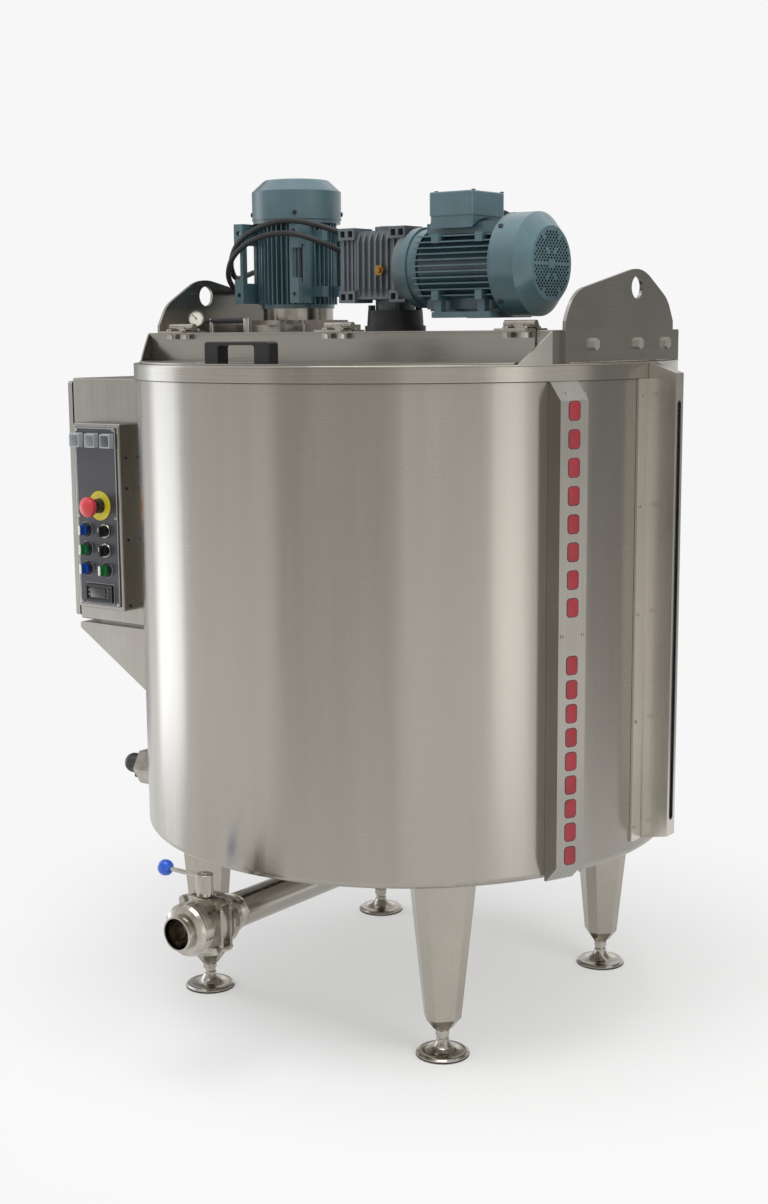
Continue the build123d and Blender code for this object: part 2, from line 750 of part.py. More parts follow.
selector_number = 0
for z in button_z:
    for x in button_x:
        selector_number += 1
        with BuildPart() as selector:
            with BuildSketch(Plane.XZ.offset(-panel_front + 7)):
                with Locations((x, z)):
                    Circle(11)
            extrude(amount=5)
            with BuildSketch(Plane.XZ.offset(-panel_front + 12)):
                with Locations((x, z)):
                    SlotOverall(22, 8, rotation=90)
            extrude(amount=9, taper=5)
            with BuildSketch(Plane.XZ.offset(-panel_front + 7)):
                with Locations((x, z)):
                    Circle(selector_stem)
            extrude(amount=-19)
        selector.part.label = f"selector_{selector_number}"
        export_step(selector.part, f"parts/selector_{selector_number}.step")

with BuildPart() as thermostat:
    with BuildSketch(Plane.XZ.offset(-panel_front)):
        with Locations((thermo_x, thermo_z)):
            RectangleRounded(77, 35, 2)
    extrude(amount=5)
    with BuildSketch(Plane.XZ.offset(-panel_front + 5)):
        with Locations((thermo_x, thermo_z)):
            RectangleRounded(68, 26, 1)
    extrude(amount=-2.5, mode=Mode.SUBTRACT)
thermostat.part.label = "thermostat"
export_step(thermostat.part, "parts/thermostat.step")

# Heater: hexagon head in the jacket's socket, its cap and the bent elements inside
boss_end = -522
cap_end = -575
with BuildPart() as heater_boss:
    with BuildSketch(Plane.YZ.offset(boss_end)):
        with Locations((heater_y, heater_z)):
            RegularPolygon(38, 6)
    extrude(amount=70)
    with BuildSketch(Plane.XY.offset(heater_z - 50)):
        Circle(jacket_radius + weld_gap)
    extrude(amount=100, mode=Mode.SUBTRACT)
    with BuildSketch(Plane.YZ.offset(-510)):
        with Locations((heater_y, heater_z)):
            Circle(heater_socket - 0.5)
    extrude(amount=70)
heater_boss.part.label = "heater_boss"
export_step(heater_boss.part, "parts/heater_boss.step")

with BuildPart() as heater_cap:
    with BuildSketch(Plane(origin=(0, heater_y, heater_z), x_dir=(1, 0, 0), z_dir=(0, -1, 0))):
        with BuildLine():
            Polyline((boss_end, 0), (boss_end, 22), (boss_end - 4, 22), (boss_end - 5, 20), (-558, 20))
            ThreePointArc((-558, 20), dome_middle(-558, 20, cap_end), (cap_end, 0))
            Line((cap_end, 0), (boss_end, 0))
        make_face()
    revolve(axis=Axis((0, heater_y, heater_z), (1, 0, 0)))
    with BuildSketch(Plane.XY.offset(heater_z - 27)):
        with Locations((-545, heater_y)):
            Circle(8)
    extrude(amount=20)
heater_cap.part.label = "heater_cap"
export_step(heater_cap.part, "parts/heater_cap.step")

element_start = -440
element_end = -120
element_rise = 10
with BuildPart() as heating_element:
    for y in (-8, 8):
        with BuildLine():
            FilletPolyline(
                (element_start, heater_y + y, heater_z + element_rise),
                (element_end, heater_y + y, heater_z + element_rise),
                (element_end, heater_y + y, heater_z - element_rise),
                (element_start, heater_y + y, heater_z - element_rise),
                radius=9,
            )
        with BuildSketch(Plane.YZ.offset(element_start)):
            with Locations((heater_y + y, heater_z + element_rise)):
                Circle(4)
        sweep()
heating_element.part.label = "heating_element"
export_step(heating_element.part, "parts/heating_element.step")

# Trim channel: a folded strip up the jacket with mitred ends
trim_azimuth = 67
trim_face = 530
trim_half = 27.5
trim_bottom = 333
trim_mitre = 30
trim_out = (math.sin(math.radians(trim_azimuth)), -math.cos(math.radians(trim_azimuth)), 0)
trim_across = (math.cos(math.radians(trim_azimuth)), math.sin(math.radians(trim_azimuth)), 0)
trim_plane = Plane(origin=(0, 0, 0), x_dir=trim_out, z_dir=trim_across)
with BuildPart() as trim_channel:
    for inset, half, mode in ((0, trim_half, Mode.ADD), (2, trim_half - 2, Mode.SUBTRACT)):
        with BuildSketch(trim_plane.offset(-half)):
            with BuildLine():
                Polyline(
                    (480, -trim_bottom - inset),
                    (trim_face - trim_mitre, -trim_bottom - inset),
                    (trim_face - inset, -trim_bottom - trim_mitre - inset / 2),
                    (trim_face - inset, -rim_bottom + trim_mitre + inset / 2),
                    (trim_face - trim_mitre, -rim_bottom + inset),
                    (480, -rim_bottom + inset),
                    close=True,
                )
            make_face()
        extrude(amount=2 * half, mode=mode)
    with BuildSketch(Plane.XY.offset(trim_bottom - 5)):
        Circle(jacket_radius + weld_gap)
    extrude(amount=rim_bottom - trim_bottom + 10, mode=Mode.SUBTRACT)
trim_channel.part.label = "trim_channel"
export_step(trim_channel.part, "parts/trim_channel.step")

# Sight gauge: glass tube in a slotted housing, on a flange strip bent to the jacket
gauge_left = 17
gauge_right = 45
gauge_mid = 31
gauge_out = 551
gauge_wall = 2
with BuildPart() as gauge_housing:
    for inset, mode in ((0, Mode.ADD), (gauge_wall, Mode.SUBTRACT)):
        with BuildSketch(Plane.XZ.offset(-gauge_right + inset)):
            with BuildLine():
                Polyline(
                    (480, 361 + inset),
                    (500, 361 + inset),
                    (gauge_out - inset, 371 + inset),
                    (gauge_out - inset, 1177 - inset),
                    (500, rim_top - inset),
                    (480, rim_top - inset),
                    close=True,
                )
            make_face()
        extrude(amount=gauge_right - gauge_left - 2 * inset, mode=mode)
    with BuildSketch(Plane.YZ.offset(gauge_out - 10)):
        with Locations((gauge_mid, 765)):
            SlotOverall(730, 10, rotation=90)
    extrude(amount=20, mode=Mode.SUBTRACT)
    with BuildSketch(Plane.XY.offset(340)):
        Circle(rim_radius + weld_gap)
    extrude(amount=900, mode=Mode.SUBTRACT)
with BuildPart() as gauge_strip:
    with BuildSketch(Plane.XY.offset(361)):
        Circle(rim_radius + weld_gap)
        Circle(jacket_radius + weld_gap, mode=Mode.SUBTRACT)
        with Locations((500, 22)):
            Rectangle(60, 78, mode=Mode.INTERSECT)
    extrude(amount=rim_bottom - 361)
with BuildPart() as gauge:
    add(gauge_housing.part)
    add(gauge_strip.part)
gauge.part.label = "gauge_housing"
export_step(gauge.part, "parts/gauge_housing.step")

with BuildPart() as gauge_tube:
    with BuildSketch(Plane.XY.offset(369.7)):
        with Locations((526, gauge_mid)):
            Circle(7)
            Circle(5, mode=Mode.SUBTRACT)
    extrude(amount=810.8)
gauge_tube.part.label = "gauge_tube"
export_step(gauge_tube.part, "parts/gauge_tube.step")

# Mixer base: two square plates and a spacer ring under the mixer motor
with BuildPart() as mixer_base:
    with BuildSketch(Plane.XY.offset(deck_top)):
        with Locations((mixer_x, mixer_y)):
            RectangleRounded(178, 178, 4)
    extrude(amount=14)
    with BuildSketch(Plane.XY.offset(deck_top + 14)):
        with Locations((mixer_x, mixer_y)):
            RectangleRounded(142, 142, 4)
    extrude(amount=9)
    with BuildSketch(Plane.XY.offset(deck_top + 23)):
        with Locations((mixer_x, mixer_y)):
            Circle(69)
    extrude(amount=22)
    with BuildSketch(Plane.XY.offset(deck_top)):
        with Locations((mixer_x, mixer_y)):
            Circle(20)
    extrude(amount=45, mode=Mode.SUBTRACT)
mixer_base.part.label = "mixer_base"
export_step(mixer_base.part, "parts/mixer_base.step")

# Mixer motor frame: finned housing with foot rails, side pads and a terminal box behind
frame_bottom = 1295
fins_bottom = 1303
fins_top = 1457
fin_root = 64
fin_tip = 77.5
fin_width = 2.4
fin_count = 44
stator_bore = 46.5
rail_y = mixer_y - 90
rail_x = 70
mixer_shaft = 12
cowl_bottom = 1464
rear_box_y = 148
gland_z = (1385, 1350)
with BuildPart() as mixer_motor_frame:
    with BuildSketch(Plane.XY.offset(fins_bottom)):
        with Locations((mixer_x, mixer_y)):
            Circle(fin_root)
            with PolarLocations((fin_root + fin_tip) / 2 - 1, fin_count):
                Rectangle(fin_tip - fin_root + 2, fin_width)
    extrude(amount=fins_top - fins_bottom)
    with BuildSketch(Plane.XY.offset(frame_bottom)):
        with Locations((mixer_x, mixer_y)):
            Circle(72)
    extrude(amount=fins_bottom - frame_bottom)
    with BuildSketch(Plane.XY.offset(fins_top)):
        with Locations((mixer_x, mixer_y)):
            Circle(motor_radius - cowl_wall - 0.05)
    extrude(amount=9)
    for side in (-1, 1):
        with BuildSketch(Plane.XY.offset(fins_bottom + 2)):
            with Locations((mixer_x + side * rail_x, rail_y)):
                Rectangle(22, 10)
            with Locations((mixer_x + side * 62, (rail_y + mixer_y) / 2)):
                Rectangle(7, mixer_y - rail_y)
        extrude(amount=fins_top - fins_bottom - 2)
        with BuildSketch(Plane.YZ.offset(mixer_x + side * 62 - 6)):
            with Locations((rail_y + 21, (fins_top + fins_bottom) / 2)):
                Rectangle(28, 72)
        extrude(amount=12, mode=Mode.SUBTRACT)
        with BuildSketch(Plane.XZ.offset(-rail_y - 8)):
            with Locations((mixer_x + side * (rail_x + 4), (fins_top + fins_bottom) / 2)):
                Rectangle(16, 56)
        extrude(amount=16, mode=Mode.SUBTRACT)
        with BuildSketch(Plane.XZ.offset(-rail_y - 8)):
            for z in (fins_bottom + 18, fins_top - 18):
                with Locations((mixer_x + side * rail_x, z)):
                    Circle(5)
        extrude(amount=16, mode=Mode.SUBTRACT)
    with BuildSketch(Plane.YZ.offset(mixer_x + 60)):
        for z in (fins_bottom + 24, fins_top - 24):
            for y in (-26, 26):
                with Locations((mixer_y + y, z)):
                    Rectangle(16, 20)
    extrude(amount=30)
    with BuildSketch(Plane.XZ.offset(-mixer_y - 60)):
        with Locations((mixer_x, 1380)):
            Rectangle(84, 84)
    extrude(amount=-10)
    with BuildSketch(Plane.XZ.offset(-mixer_y - 70)):
        with Locations((mixer_x, 1380)):
            RectangleRounded(104, 104, 6)
    extrude(amount=-56)
    for z in gland_z:
        with BuildSketch(Plane.YZ.offset(mixer_x - 52)):
            with Locations((rear_box_y, z)):
                Circle(9)
        extrude(amount=-14)
    with BuildSketch(Plane.XY.offset(frame_bottom + 13)):
        with Locations((mixer_x, mixer_y)):
            Circle(stator_bore)
    extrude(amount=fins_top - frame_bottom - 16, mode=Mode.SUBTRACT)
    with BuildSketch(Plane.XY.offset(frame_bottom)):
        with Locations((mixer_x, mixer_y)):
            Circle(mixer_shaft + running_gap)
    extrude(amount=200, mode=Mode.SUBTRACT)
mixer_motor_frame.part.label = "mixer_motor_frame"
export_step(mixer_motor_frame.part, "parts/mixer_motor_frame.step")

# Fan cowls: a turned cover with a bevelled shoulder and an end with staggered square holes
bevel_start = 54
bevel_end = 72
cowl_length = 76
bevel_radius = 63
grille_pitch = 9.5
grille_hole = 4.8
grille_radius = 56


def grille_points():
    """Centres of the holes, clear of the middle boss and of three spokes across it."""
    points = []
    for row in range(-12, 13):
        for column in range(-7, 8):
            x = grille_pitch * (column + 0.5 * (row % 2))
            y = 0.5 * grille_pitch * row
            reach = math.hypot(x, y)
            angle = math.atan2(y, x)
            spoke = min(abs(reach * math.sin(angle - k * math.pi / 3)) for k in range(3))
            if 8 < reach < grille_radius and spoke > 2.2:
                points.append((x, y))
    return points


mixer_cowl_plane = Plane(origin=(mixer_x, mixer_y, cowl_bottom), x_dir=(1, 0, 0), z_dir=(0, -1, 0))
with BuildPart() as mixer_motor_cowl:
    with BuildSketch(mixer_cowl_plane):
        with BuildLine():
            Polyline(
                (motor_radius - cowl_wall, 0),
                (motor_radius, 0),
                (motor_radius, bevel_start),
                (bevel_radius + 2, cowl_length - 2),
                (bevel_radius - 1, cowl_length),
                (0, cowl_length),
                (0, cowl_length - cowl_wall),
                (bevel_radius - 1.5, cowl_length - cowl_wall),
                (motor_radius - cowl_wall, bevel_start - 1),
                close=True,
            )
        make_face()
    revolve(axis=Axis((mixer_x, mixer_y, 0), (0, 0, 1)))
    with BuildSketch(Plane.XY.offset(cowl_bottom + cowl_length)):
        with Locations((mixer_x, mixer_y)):
            with Locations(*grille_points()):
                Rectangle(grille_hole, grille_hole, rotation=45)
    extrude(amount=-cowl_wall - 1, mode=Mode.SUBTRACT)
mixer_motor_cowl.part.label = "mixer_motor_cowl"
export_step(mixer_motor_cowl.part, "parts/mixer_motor_cowl.step")

# Mixer rotor: laminated core, long shaft, cooling fan above and impeller in the vessel
impeller_z = 600
with BuildPart() as mixer_rotor:
    with BuildSketch(Plane.XY.offset(impeller_z - 6)):
        with Locations((mixer_x, mixer_y)):
            Circle(mixer_shaft)
    extrude(amount=1518 - impeller_z)
    with BuildSketch(Plane.XY.offset(1325)):
        with Locations((mixer_x, mixer_y)):
            Circle(45.7)
    extrude(amount=110)
    with BuildSketch(Plane.XY.offset(1478)):
        with Locations((mixer_x, mixer_y)):
            Circle(30)
            with PolarLocations(46, 7):
                Rectangle(52, 3)
    extrude(amount=26)
    with BuildSketch(Plane.XY.offset(impeller_z - 12)):
        with Locations((mixer_x, mixer_y)):
            Circle(22)
    extrude(amount=34)
    for turn in range(3):
        blade_angle = turn * 120
        spoke = (math.cos(math.radians(blade_angle)), math.sin(math.radians(blade_angle)), 0)
        blade_plane = Plane(
            origin=(mixer_x + 18 * spoke[0], mixer_y + 18 * spoke[1], impeller_z + 5),
            x_dir=(-spoke[1], spoke[0], 0),
            z_dir=spoke,
        )
        with BuildSketch(blade_plane):
            RectangleRounded(30, 3, 1, rotation=35)
        extrude(amount=32)
mixer_rotor.part.label = "mixer_rotor"
export_step(mixer_rotor.part, "parts/mixer_rotor.step")

# Worm gearbox: cast housing with four pocketed pads, bevelled ribs and a motor flange
agitator_shaft = 12.5
worm_shaft = 10
casing_front = -114
casing_left = -65
casing_right = 84
casing_bottom = 1301
casing_top = 1433
pad_width = 36
pad_height = 21
flange_face = 95
with BuildPart() as gearbox:
    with BuildSketch(Plane.XY.offset(casing_bottom + 6)):
        with Locations((0, agitator_y)):
            Circle(56)
        with Locations(((casing_left + casing_right) / 2, (casing_front + 8 + worm_y + 34) / 2)):
            Rectangle(casing_right - casing_left - 8, worm_y + 34 - casing_front - 8)
    extrude(amount=casing_top - casing_bottom - 12)
    chamfer(gearbox.edges().filter_by(Axis.Z).group_by(Axis.Y)[0], length=4)
    for x in (casing_left + pad_width / 2, casing_right - pad_width / 2):
        with BuildSketch(Plane.XZ.offset(-casing_front - 54)):
            with Locations((x, (casing_bottom + casing_top) / 2)):
                Rectangle(pad_width, casing_top - casing_bottom)
                Rectangle(pad_width - 10, casing_top - casing_bottom - 2 * pad_height, mode=Mode.SUBTRACT)
        extrude(amount=48)
        with BuildSketch(Plane.XZ.offset(-casing_front - 10)):
            for z in (casing_bottom + pad_height / 2, casing_top - pad_height / 2):
                with Locations((x, z)):
                    Rectangle(pad_width, pad_height)
        extrude(amount=10)
        with BuildSketch(Plane.XZ.offset(-casing_front)):
            for z in (casing_bottom + pad_height / 2, casing_top - pad_height / 2):
                with Locations((x, z)):
                    with GridLocations(17, 1, 2, 1):
                        Rectangle(10, 11)
        extrude(amount=-14, mode=Mode.SUBTRACT)
        with BuildSketch(Plane.XZ.offset(-casing_front - 14)):
            with Locations((x, (casing_bottom + casing_top) / 2)):
                with GridLocations(10, 1, 3, 1):
                    Rectangle(3.4, casing_top - casing_bottom - 2 * pad_height)
        extrude(amount=10)
    for x in (-22, -9, 4, 17, 30, 43):
        with BuildSketch(Plane.YZ.offset(x - 1.8)):
            with BuildLine():
                Polyline(
                    (casing_front + 24, casing_bottom + 10),
                    (casing_front + 8, casing_bottom + 10),
                    (casing_front + 1, casing_bottom + 24),
                    (casing_front + 1, casing_top - 24),
                    (casing_front + 8, casing_top - 10),
                    (casing_front + 24, casing_top - 10),
                    close=True,
                )
            make_face()
        extrude(amount=3.6)
    with BuildSketch(Plane.YZ.offset(casing_right - 10)):
        with Locations((worm_y, worm_z)):
            Circle(62)
    extrude(amount=flange_face - casing_right + 10)
    with BuildSketch(Plane.XY.offset(1288)):
        with Locations((0, agitator_y)):
            Circle(36)
    extrude(amount=casing_top + 4 - 1288)
    with BuildSketch(Plane.XY.offset(1288)):
        with Locations((0, agitator_y)):
            Circle(agitator_shaft + running_gap)
    extrude(amount=136, mode=Mode.SUBTRACT)
    with BuildSketch(Plane.YZ.offset(flange_face)):
        with Locations((worm_y, worm_z)):
            Circle(worm_shaft + running_gap)
    extrude(amount=-146, mode=Mode.SUBTRACT)
gearbox.part.label = "gearbox"
export_step(gearbox.part, "parts/gearbox.step")

with BuildPart() as gearbox_pedestal:
    with BuildSketch(Plane.XY.offset(deck_top)):
        with Locations((0, agitator_y)):
            Circle(56)
    extrude(amount=10)
    with BuildSketch(Plane.XY.offset(deck_top + 10)):
        with Locations((0, agitator_y)):
            Circle(52)
    extrude(amount=28, taper=4)
    with BuildSketch(Plane.XY.offset(1288)):
        with Locations((0, agitator_y)):
            with PolarLocations(43.5, 4, start_angle=45):
                RegularPolygon(6.5, 6)
    extrude(amount=9)
    with BuildSketch(Plane.XY.offset(deck_top)):
        with Locations((0, agitator_y)):
            Circle(20)
    extrude(amount=50, mode=Mode.SUBTRACT)
gearbox_pedestal.part.label = "gearbox_pedestal"
export_step(gearbox_pedestal.part, "parts/gearbox_pedestal.step")

plug_x = 33
plug_z = 1357
with BuildPart() as breather_plug:
    with BuildSketch(Plane.XZ.offset(-casing_front - 1)):
        with Locations((plug_x, plug_z)):
            Circle(8)
    extrude(amount=4)
    with BuildSketch(Plane.XZ.offset(-casing_front + 3)):
        with Locations((plug_x, plug_z)):
            RegularPolygon(10, 6)
    extrude(amount=7)
    with BuildSketch(Plane.XZ.offset(-casing_front + 10)):
        with Locations((plug_x, plug_z)):
            Circle(5)
    extrude(amount=4)
breather_plug.part.label = "breather_plug"
export_step(breather_plug.part, "parts/breather_plug.step")

# Gear motor frame: round flange, level fins, bolt pads, feet and a bearing shield
body_start = 130
body_end = 292
gear_shield_end = 300
gear_bore = 46.5
gear_pad_x = (173, 263)
body_core = 63
body_tip = 79
with BuildPart() as gear_motor_frame:
    with BuildSketch(Plane.YZ.offset(flange_face)):
        with Locations((worm_y, worm_z)):
            Circle(70)
    extrude(amount=15)
    with BuildSketch(Plane.YZ.offset(flange_face + 15)):
        with Locations((worm_y, worm_z)):
            Circle(67)
    extrude(amount=body_start - flange_face - 15)
    with BuildSketch(Plane.YZ.offset(body_start)):
        with Locations((worm_y, worm_z)):
            Circle(body_core)
            for step in range(-5, 6):
                level = 10 * step
                with Locations((0, level)):
                    Rectangle(2 * math.sqrt(body_tip**2 - level**2), fin_width)
            for step in range(-3, 4):
                across = 10 * step
                with Locations((across, 0)):
                    Rectangle(fin_width, 2 * math.sqrt(body_tip**2 - across**2))
    extrude(amount=body_end - body_start)
    with BuildSketch(Plane.YZ.offset(body_end)):
        with Locations((worm_y, worm_z)):
            Circle(motor_radius - cowl_wall - 0.05)
    extrude(amount=8)
    for x in gear_pad_x:
        with BuildSketch(Plane.YZ.offset(x - 7)):
            for z in (-50, 46):
                with Locations((worm_y, worm_z + z)):
                    Rectangle(2 * 70, 16)
            for y in (-54, 54):
                with Locations((worm_y + y, 1297)):
                    Rectangle(14, 46)
        extrude(amount=14)
    with BuildSketch(Plane.XY.offset(1272)):
        for y in (-54, 54):
            with Locations((sum(gear_pad_x) / 2 + 6, worm_y + y)):
                RectangleRounded(122, 26, 3)
    extrude(amount=10)
    with BuildSketch(Plane.YZ.offset(body_start - 5)):
        with Locations((worm_y, worm_z)):
            Circle(gear_bore)
    extrude(amount=body_end - body_start + 7, mode=Mode.SUBTRACT)
    with BuildSketch(Plane.YZ.offset(flange_face)):
        with Locations((worm_y, worm_z)):
            Circle(worm_shaft + running_gap)
    extrude(amount=gear_shield_end - flange_face, mode=Mode.SUBTRACT)
gear_motor_frame.part.label = "gear_motor_frame"
export_step(gear_motor_frame.part, "parts/gear_motor_frame.step")

gear_cowl_start = 292
gear_bevel = 50
gear_bevel_end = 70
gear_cowl_length = 73
gear_cowl_plane = Plane(origin=(gear_cowl_start, worm_y, worm_z), x_dir=(0, 0, 1), z_dir=(0, 1, 0))
with BuildPart() as gear_motor_cowl:
    with BuildSketch(gear_cowl_plane):
        with BuildLine():
            Polyline(
                (motor_radius - cowl_wall, 0),
                (motor_radius, 0),
                (motor_radius, gear_bevel),
                (bevel_radius + 3, gear_bevel_end),
                (bevel_radius, gear_cowl_length),
                (0, gear_cowl_length),
                (0, gear_cowl_length - cowl_wall),
                (bevel_radius - 0.5, gear_cowl_length - cowl_wall),
                (bevel_radius + 1.8, gear_bevel_end - 1),
                (motor_radius - cowl_wall, gear_bevel - 1),
                close=True,
            )
        make_face()
    revolve(axis=Axis((0, worm_y, worm_z), (1, 0, 0)))
    with BuildSketch(Plane.YZ.offset(gear_cowl_start + gear_cowl_length)):
        with Locations((worm_y, worm_z)):
            with Locations(*grille_points()):
                Rectangle(grille_hole, grille_hole, rotation=45)
    extrude(amount=-cowl_wall - 1, mode=Mode.SUBTRACT)
gear_motor_cowl.part.label = "gear_motor_cowl"
export_step(gear_motor_cowl.part, "parts/gear_motor_cowl.step")

terminal_left = 147
terminal_right = 238
terminal_half = 51
terminal_bottom = 1415
terminal_top = 1485
seam_z = 1445
gear_gland_x = 212
gear_gland_z = 1455
with BuildPart() as gear_terminal_box:
    with BuildSketch(Plane.XY.offset(terminal_bottom)):
        with Locations(((terminal_left + terminal_right) / 2, worm_y)):
            RectangleRounded(terminal_right - terminal_left - 3, 2 * terminal_half - 3, 5)
    extrude(amount=terminal_top - terminal_bottom)
    with BuildSketch(Plane.XY.offset(seam_z)):
        with Locations(((terminal_left + terminal_right) / 2, worm_y)):
            RectangleRounded(terminal_right - terminal_left, 2 * terminal_half, 6)
    extrude(amount=terminal_top - seam_z)
    fillet(gear_terminal_box.edges().group_by(Axis.Z)[-1], radius=3)
    with BuildSketch(Plane.YZ.offset(terminal_left - 5)):
        with Locations((worm_y, worm_z)):
            Circle(body_tip + 1.5)
    extrude(amount=120, mode=Mode.SUBTRACT)
    with BuildSketch(Plane.XZ.offset(-worm_y - terminal_half)):
        with Locations((gear_gland_x, gear_gland_z)):
            Circle(9)
    extrude(amount=-14)
gear_terminal_box.part.label = "gear_terminal_box"
export_step(gear_terminal_box.part, "parts/gear_terminal_box.step")

with BuildPart() as gear_rotor:
    with BuildSketch(Plane.YZ.offset(-48)):
        with Locations((worm_y, worm_z)):
            Circle(worm_shaft)
    extrude(amount=390)
    with BuildSketch(Plane.YZ.offset(body_start + 20)):
        with Locations((worm_y, worm_z)):
            Circle(gear_bore - 0.8)
    extrude(amount=120)
    with BuildSketch(Plane.YZ.offset(306)):
        with Locations((worm_y, worm_z)):
            Circle(30)
            with PolarLocations(46, 7):
                Rectangle(52, 3)
    extrude(amount=34)
gear_rotor.part.label = "gear_rotor"
export_step(gear_rotor.part, "parts/gear_rotor.step")

# Agitator: shaft and a flat gate-shaped blade in the middle of the vessel
gate_half = 235
gate_bottom = 448
gate_top = 1000
gate_bar = 40
with BuildPart() as agitator:
    with BuildSketch(Plane.XZ.offset(-agitator_y - 3)):
        with Locations((0, (gate_bottom + gate_top) / 2)):
            RectangleRounded(2 * gate_half, gate_top - gate_bottom, 12)
            Rectangle(2 * (gate_half - gate_bar), gate_top - gate_bottom - 2 * gate_bar, mode=Mode.SUBTRACT)
    extrude(amount=6)
    with BuildSketch(Plane.XY.offset(gate_bottom)):
        with Locations((0, agitator_y)):
            Circle(agitator_shaft)
    extrude(amount=1420 - gate_bottom)
    for z in (gate_bottom + 4, gate_top - gate_bar + 4):
        with BuildSketch(Plane.XY.offset(z)):
            with Locations((0, agitator_y)):
                Circle(20)
        extrude(amount=gate_bar - 8)
agitator.part.label = "agitator"
export_step(agitator.part, "parts/agitator.step")

# Dial thermometer: case tilted to the front right, with its side stem and deck gland
dial_centre = Vector(-385, -150, 1276)
dial_normal = Vector(0.57, -0.80, 0.18).normalized()
dial_radius = 16.5
stem_end = -262
dial_plane = Plane(origin=dial_centre, x_dir=(0.814, 0.581, 0), z_dir=dial_normal)
with BuildPart() as thermometer:
    with BuildSketch(dial_plane.offset(-7)):
        Circle(dial_radius)
    extrude(amount=13)
    with BuildSketch(dial_plane.offset(6)):
        Circle(dial_radius - 2)
    extrude(amount=-3, mode=Mode.SUBTRACT)
    with BuildSketch(Plane.YZ.offset(-374)):
        with Locations((-143, 1272)):
            Circle(4.5)
    extrude(amount=stem_end + 374)
    with BuildSketch(Plane.XY.offset(deck_top)):
        with Locations((stem_end, -143)):
            Circle(8)
        with Locations((-352, -143)):
            Circle(5)
    extrude(amount=26)
    with BuildSketch(dial_plane.offset(3)):
        Circle(0.85)
    extrude(amount=-3, mode=Mode.SUBTRACT)
thermometer.part.label = "thermometer"
export_step(thermometer.part, "parts/thermometer.step")

with BuildPart() as thermometer_pointer:
    with BuildSketch(dial_plane.offset(3.5)):
        Circle(1.6)
        with Locations((-3.6, 3.6)):
            Rectangle(13, 1.1, rotation=135)
    extrude(amount=0.8)
    with BuildSketch(dial_plane.offset(0.5)):
        Circle(0.8)
    extrude(amount=3.2)
thermometer_pointer.part.label = "thermometer_pointer"
export_step(thermometer_pointer.part, "parts/thermometer_pointer.step")

# Cables: each runs from the mixer motor's rear box round its left side and over its front
motor_cable_route = [
    (-364, 148, 1385),
    (-408, 148, 1385),
    (-440, 119, 1379),
    (-443, 74, 1367),
    (-431, 30, 1356),
    (-410, -12, 1356),
    (-390, -46, 1384),
    (-359, -60, 1420),
    (-312, -67, 1442),
    (-258, -70, 1456),
    (-204, -67, 1457),
    (-148, -57, 1444),
    (-99, -30, 1423),
    (-66, 18, 1402),
    (-20, 56, 1386),
    (36, 76, 1379),
    (92, 88, 1383),
    (144, 88, 1399),
    (186, 70, 1429),
    (212, 34, 1455),
    (212, -15, 1455),
]
supply_cable_route = [
    (-364, 148, 1350),
    (-408, 148, 1350),
    (-440, 119, 1344),
    (-442, 74, 1334),
    (-428, 30, 1327),
    (-408, -13, 1332),
    (-391, -54, 1358),
    (-360, -74, 1394),
    (-312, -80, 1420),
    (-260, -82, 1433),
    (-208, -78, 1434),
    (-158, -66, 1420),
    (-122, -34, 1398),
    (-104, 14, 1372),
    (-97, 58, 1350),
    (-88, 92, 1326),
    (-86, 104, 1296),
    (-86, 104, 1264),
]


def corner_radii(route):
    radii = []
    for before, here, after in zip(route, route[1:], route[2:]):
        run_in = Vector(here) - Vector(before)
        run_out = Vector(after) - Vector(here)
        turn = math.radians(run_in.get_angle(run_out))
        radii.append(0.45 * min(run_in.length, run_out.length) / math.tan(turn / 2))
    return radii


for route, cable_name in ((motor_cable_route, "motor_cable"), (supply_cable_route, "supply_cable")):
    radii = corner_radii(route)
    start = Vector(route[0])
    with BuildPart() as cable:
        with BuildLine() as cable_line:
            FilletPolyline(*route, radius=radii)
        with BuildSketch(Plane(origin=start, z_dir=Vector(route[1]) - start)):
            Circle(cable_radius)
        sweep()
    section = math.pi * cable_radius**2
    length = cable_line.wires()[0].length
    print(cable_name, "radii", [round(r, 1) for r in radii])
    drawn = cable.part.volume / section
    print(cable_name, "length", round(length, 1), "volume over section", round(drawn, 1))
    cable.part.label = cable_name
    export_step(cable.part, f"parts/{cable_name}.step")
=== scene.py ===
"""Looks of a heated mixing tank with a lifting lid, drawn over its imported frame.

+Z is up and the tank's front faces -Y. Lengths are in metres, or in millimetres where a
docstring says so.
"""

import logging
import math
from dataclasses import dataclass
from enum import Enum

import bmesh
import bpy
import numpy as np
from mathutils import Matrix, Vector


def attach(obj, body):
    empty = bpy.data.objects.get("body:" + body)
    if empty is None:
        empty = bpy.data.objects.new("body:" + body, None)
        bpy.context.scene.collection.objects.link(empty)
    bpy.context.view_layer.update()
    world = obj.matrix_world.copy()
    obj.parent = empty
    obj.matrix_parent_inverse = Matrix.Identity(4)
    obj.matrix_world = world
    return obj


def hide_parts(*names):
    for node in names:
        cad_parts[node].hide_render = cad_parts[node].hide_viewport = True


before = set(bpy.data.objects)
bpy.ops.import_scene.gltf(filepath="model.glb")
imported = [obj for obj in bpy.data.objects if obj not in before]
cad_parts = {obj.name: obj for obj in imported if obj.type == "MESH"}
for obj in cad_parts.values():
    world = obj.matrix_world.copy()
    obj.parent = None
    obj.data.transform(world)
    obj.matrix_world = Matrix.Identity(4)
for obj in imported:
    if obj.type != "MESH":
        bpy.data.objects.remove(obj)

Point = tuple[float, float, float]
Pairs = list[tuple[float, float]]

